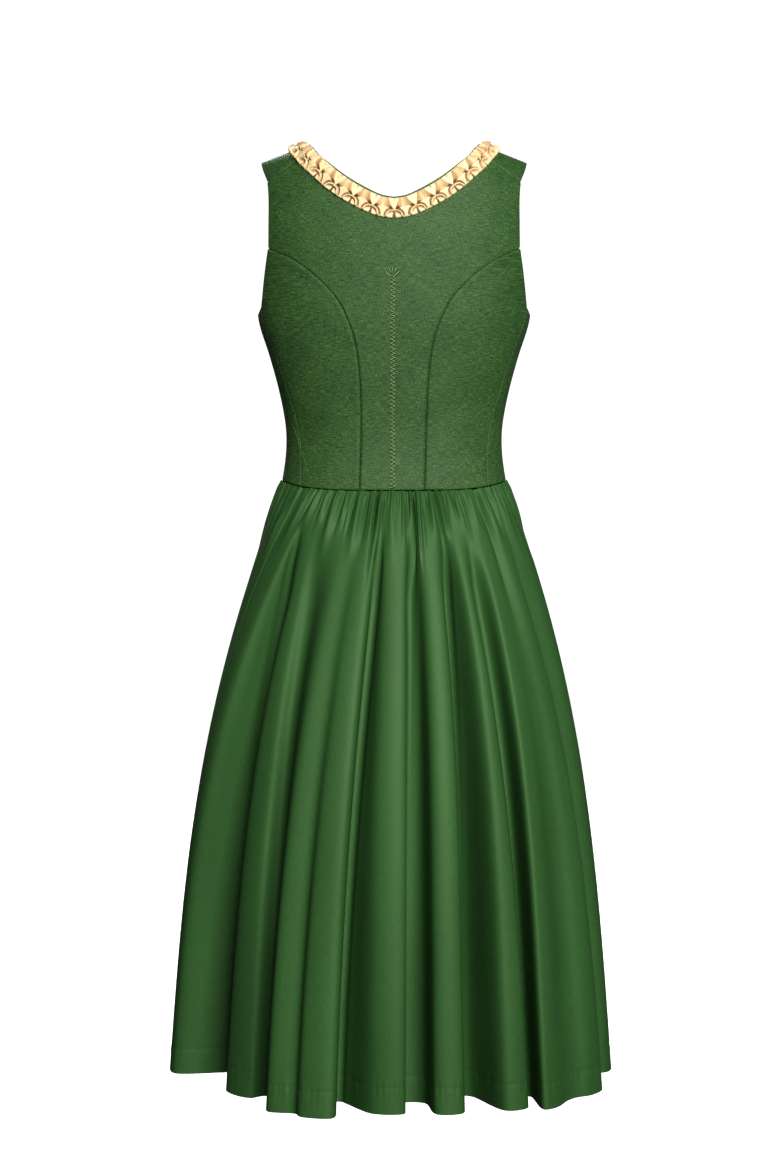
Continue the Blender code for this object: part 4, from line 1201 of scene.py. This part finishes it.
# ================================================================ finishes
class Finish:
    """Builder of one procedural material, from the shader's plain values by socket."""

    def __init__(self, name, shader):
        self.material = bpy.data.materials.new(name)
        self.material.use_nodes = True
        self.tree = self.material.node_tree
        self.shader = self.tree.nodes["Principled BSDF"].inputs
        for socket, value in shader.items():
            self.feed(self.shader[socket], value)

    def feed(self, socket, value):
        """Gives a socket a plain value, or another node's output."""
        if isinstance(value, bpy.types.NodeSocket):
            self.tree.links.new(value, socket)
        else:
            socket.default_value = value

    def node(self, kind, output, inputs, **settings):
        """Output of a new node; its sockets go by identifier."""
        node = self.tree.nodes.new("ShaderNode" + kind)
        for name, value in settings.items():
            setattr(node, name, value)
        sockets = {socket.identifier: socket for socket in node.inputs}
        for name, value in inputs.items():
            self.feed(sockets[name], value)
        return next(socket for socket in node.outputs if socket.identifier == output)

    def noise(self, scale, detail=2.0, stretch=(1.0, 1.0), on_cloth=True):
        """Noise whose grains are about 1 / scale metres, drawn out by stretch."""
        if on_cloth:
            place = self.node("UVMap", "UV", {}, uv_map="cloth")
        else:
            place = self.node("TexCoord", "Object", {})
        sizes = [scale / part for part in (*stretch, 1.0)]
        mapped = self.node("Mapping", "Vector", {"Vector": place, "Scale": sizes})
        return self.node("TexNoise", "Fac", {"Vector": mapped, "Scale": 1.0, "Detail": detail})

    def ramp(self, source, stops):
        """Colours at values of a source; stops are (value, colour)."""
        colour = self.node("ValToRGB", "Color", {"Fac": source})
        elements = colour.node.color_ramp.elements
        while len(elements) < len(stops):
            elements.new(0.5)
        for element, (value, shade) in zip(elements, stops):
            element.position = value
            element.color = shade
        return colour

    def weighted(self, *parts):
        """Sum of sources, each times its weight."""
        total = 0.0
        for source, weight in parts:
            total = self.node("Math", "Value", {"Value": source, "Value_001": weight, "Value_002": total},
                              operation="MULTIPLY_ADD")
        return total

    def mix(self, factor, first, second, kind="MIX"):
        return self.node("Mix", "Result_Color", {"Factor_Float": factor, "A_Color": first, "B_Color": second},
                         data_type="RGBA", blend_type=kind)

    def tinted(self, base, source, stops):
        """A colour times a ramp's."""
        return self.mix(1.0, base, self.ramp(source, stops), "MULTIPLY")

    def attribute(self, name):
        return self.node("Attribute", "Fac", {}, attribute_name=name)

    def done(self, colour, height=None, distance=0.0, strength=0.0):
        """The material with a base colour and, where there is a height, a bump."""
        self.feed(self.shader["Base Color"], colour)
        if height is not None:
            bump = self.node("Bump", "Normal", {"Height": height, "Distance": distance, "Strength": strength})
            self.feed(self.shader["Normal"], bump)
        return self.material


def linear(red, green, blue):
    """Linear colour of an sRGB one given as 0 to 255."""
    values = [part / 255.0 for part in (red, green, blue)]
    return (*(v / 12.92 if v <= 0.04045 else ((v + 0.055) / 1.055) ** 2.4 for v in values), 1.0)


def bodice_finish():
    """Mottled linen-like cloth, its threads darker and lighter green."""
    finish = Finish("bodice_linen", {"Roughness": 0.68, "Specular IOR Level": 0.38,
                                     "Specular Tint": (0.95, 1.0, 0.86, 1.0)})
    warp = finish.noise(1350.0, stretch=(1.0, 6.0))
    weft = finish.noise(1250.0, stretch=(10.0, 1.0))
    slubs = finish.noise(620.0, stretch=(9.0, 1.0))
    threads = finish.weighted((warp, 0.34), (weft, 0.36), (finish.noise(950.0, 3.0), 0.30))
    colour = finish.ramp(threads, [(0.37, linear(6, 28, 8)), (0.465, linear(38, 76, 31)),
                                   (0.545, linear(59, 96, 45)), (0.655, linear(108, 140, 76))])
    blotches = finish.noise(26.0, 3.0)
    colour = finish.tinted(colour, blotches, [(0.3, linear(216, 226, 222)), (0.7, linear(255, 252, 240))])
    colour = finish.tinted(colour, slubs, [(0.30, linear(206, 214, 204)), (0.44, linear(255, 255, 255))])
    return finish.done(colour, threads, 0.0006, 0.7)


def skirt_finish():
    """Smooth cloth with a slight satin gleam."""
    finish = Finish("skirt_satin", {"Roughness": 0.58, "Specular IOR Level": 0.36,
                                    "Specular Tint": (0.72, 1.0, 0.55, 1.0)})
    threads = finish.noise(1100.0, stretch=(1.0, 12.0))
    clouds = finish.noise(16.0, stretch=(1.0, 4.0))
    colour = finish.ramp(threads, [(0.3, linear(42, 80, 37)), (0.7, linear(51, 91, 45))])
    colour = finish.tinted(colour, clouds, [(0.3, linear(228, 232, 226)), (0.7, linear(255, 255, 252))])
    return finish.done(colour, threads, 0.0002, 0.4)


def ribbon_finish():
    """Gold satin ribbon with fine cross ribs, with painted warm shade in its hollows and painted shadow in its slits.
    """
    finish = Finish("gold_ribbon", {"Roughness": 0.45, "Specular IOR Level": 0.4})
    ribs = finish.noise(1400.0, 1.0, (1.0, 10.0))
    colour = finish.ramp(ribs, [(0.3, linear(242, 214, 162)), (0.7, linear(252, 232, 190))])
    colour = finish.tinted(colour, finish.noise(180.0), [(0.3, linear(236, 228, 214)), (0.7, linear(255, 255, 250))])
    # painted warm shade: the shaded facets and hollows are mixed towards tan
    colour = finish.mix(finish.attribute("painted_warm_shade"), colour, linear(182, 126, 64))
    # painted shadow: the slits and grooves are mixed towards near black
    colour = finish.mix(finish.attribute("dark"), colour, linear(36, 20, 8))
    return finish.done(colour, ribs, 0.0002, 0.35)


def thread_finish(name, dark, light):
    finish = Finish(name, {"Roughness": 0.65, "Specular IOR Level": 0.2})
    return finish.done(finish.ramp(finish.noise(1500.0, on_cloth=False), [(0.3, dark), (0.7, light)]))


def backdrop_finish():
    finish = Finish("pale_backdrop", {"Roughness": 0.9, "Specular IOR Level": 0.1, "Emission Strength": 1.0,
                                      "Emission Color": (1.0, 1.0, 1.0, 1.0)})
    return finish.done(linear(199, 199, 199))


# ================================================================ studio
FLOOR_DROP = 0.30               # the dress hangs this far above the floor, in metres
FLOOR_RINGS = (0.0, 2.0, 4.0, 5.8)
COVE_RADIUS = 1.2
COVE_STEPS = 12
ROUND_STEPS = 96
WALL_TOP = 4.5
FILL_STRENGTH = 0.035
LENS = 89.37                    # millimetres, on a sensor 36 wide
CAMERA_PLACE = (-0.0036, -3.5, -0.306)
CAMERA_TILT = 86.32             # degrees, where 0 looks straight down
Lamp = namedtuple("Lamp", "name place target size power gleam")   # gleam: also seen in reflections
LAMPS = [
    Lamp("key", (0.95, -3.6, 1.20), (0.02, 0.0, -0.42), (1.9, 2.4), 250.0, True),
    Lamp("far_side", (-0.6, 4.2, 1.2), (0.0, 0.0, -0.50), (1.8, 2.0), 190.0, True),
    Lamp("left_side", (-3.0, 2.1, 0.9), (0.0, 0.0, -0.55), (2.0, 2.4), 34.0, False),
    Lamp("right_side", (3.0, 2.1, 0.9), (0.0, 0.0, -0.55), (2.0, 2.4), 34.0, False),
]


def place_object(name, data, place, rotation):
    result = bpy.data.objects.new(name, data)
    result.location = place
    result.rotation_euler = rotation
    bpy.context.collection.objects.link(result)
    return result


def studio(box):
    """Pale floor that curves up into a wall all round, soft lights and the camera."""
    turn = math.pi / 2 * np.arange(1, COVE_STEPS + 1) / COVE_STEPS
    edge = FLOOR_RINGS[-1]
    radius = np.concatenate([FLOOR_RINGS, edge + COVE_RADIUS * np.sin(turn), [edge + COVE_RADIUS]])
    height = np.concatenate([np.zeros(len(FLOOR_RINGS)), COVE_RADIUS * (1 - np.cos(turn)), [WALL_TOP]])
    turn = 2 * math.pi * np.arange(ROUND_STEPS) / ROUND_STEPS
    height = np.broadcast_to(height + box[0][2] - FLOOR_DROP, (ROUND_STEPS, len(radius)))
    points = np.stack([np.outer(np.cos(turn), radius), np.outer(np.sin(turn), radius), height], axis=-1)
    faces = grid_faces(*height.shape, rows_close=True)
    backdrop = add_object("backdrop", points.reshape(-1, 3), faces.tolist(), backdrop_finish())
    backdrop.visible_diffuse = False
    backdrop.visible_glossy = False

    world = bpy.data.worlds.new("studio")
    world.use_nodes = True
    fill = world.node_tree.nodes["Background"].inputs
    fill["Color"].default_value = (1.0, 1.0, 1.0, 1.0)
    fill["Strength"].default_value = FILL_STRENGTH
    bpy.context.scene.world = world

    for lamp in LAMPS:
        light = bpy.data.lights.new(lamp.name, "AREA")
        light.shape = "RECTANGLE"
        light.size, light.size_y = lamp.size
        light.energy = lamp.power
        holder = place_object(lamp.name, light, lamp.place, aim(lamp.place, lamp.target))
        holder.visible_camera = False
        holder.visible_glossy = lamp.gleam

    camera = bpy.data.cameras.new("camera")
    camera.lens = LENS
    camera.sensor_width = 36.0
    camera.clip_end = 30.0
    scene = bpy.context.scene
    scene.camera = place_object("camera", camera, CAMERA_PLACE, (math.radians(CAMERA_TILT), 0.0, 0.0))
    scene.view_settings.view_transform = "Standard"


def aim(place, target):
    """Rotation that turns a lamp at a place towards a target."""
    x, y, z = (t - p for t, p in zip(target, place))
    return (math.atan2(math.hypot(x, y), -z), 0.0, math.atan2(y, x) - math.pi / 2)


# ================================================================ the dress
# A kind for a piece's cut without seam allowances: width and length in metres, and its area where that isn't a
# rectangle; nothing here makes one.
Cut = namedtuple("Cut", "flat area held")


def build():
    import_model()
    cad_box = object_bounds()
    linen = Cloth(BODICE_CLOTH, bodice_finish(), "bodice_cloth")
    for side, word in ((BACK, "back"), (FRONT, "front")):
        name = f"bodice_{word}_centre"
        centre_panel(name, side, linen)
        for hand, hand_word in ((1, "right"), (-1, "left")):
            name = f"bodice_{word}_side_{hand_word}"
            side_panel(name, side, hand, linen)
    skirt_panels(Cloth(SKIRT_CLOTH, skirt_finish(), "skirt_cloth"))
    neck_trim(ribbon_finish())
    # the embroidery's dark thread is painted shadow under the pale one
    sewn = embroidery(thread_finish("pale_thread", linear(112, 142, 84), linear(176, 200, 138)),
                      thread_finish("shadow_thread", linear(14, 34, 12), linear(26, 52, 22)))
    sewn += seam_stitches(thread_finish("green_thread", linear(26, 50, 22), linear(44, 76, 38)),
                          thread_finish("light_green_thread", linear(58, 96, 52), linear(96, 134, 84)))
    studio(cad_box)


build()
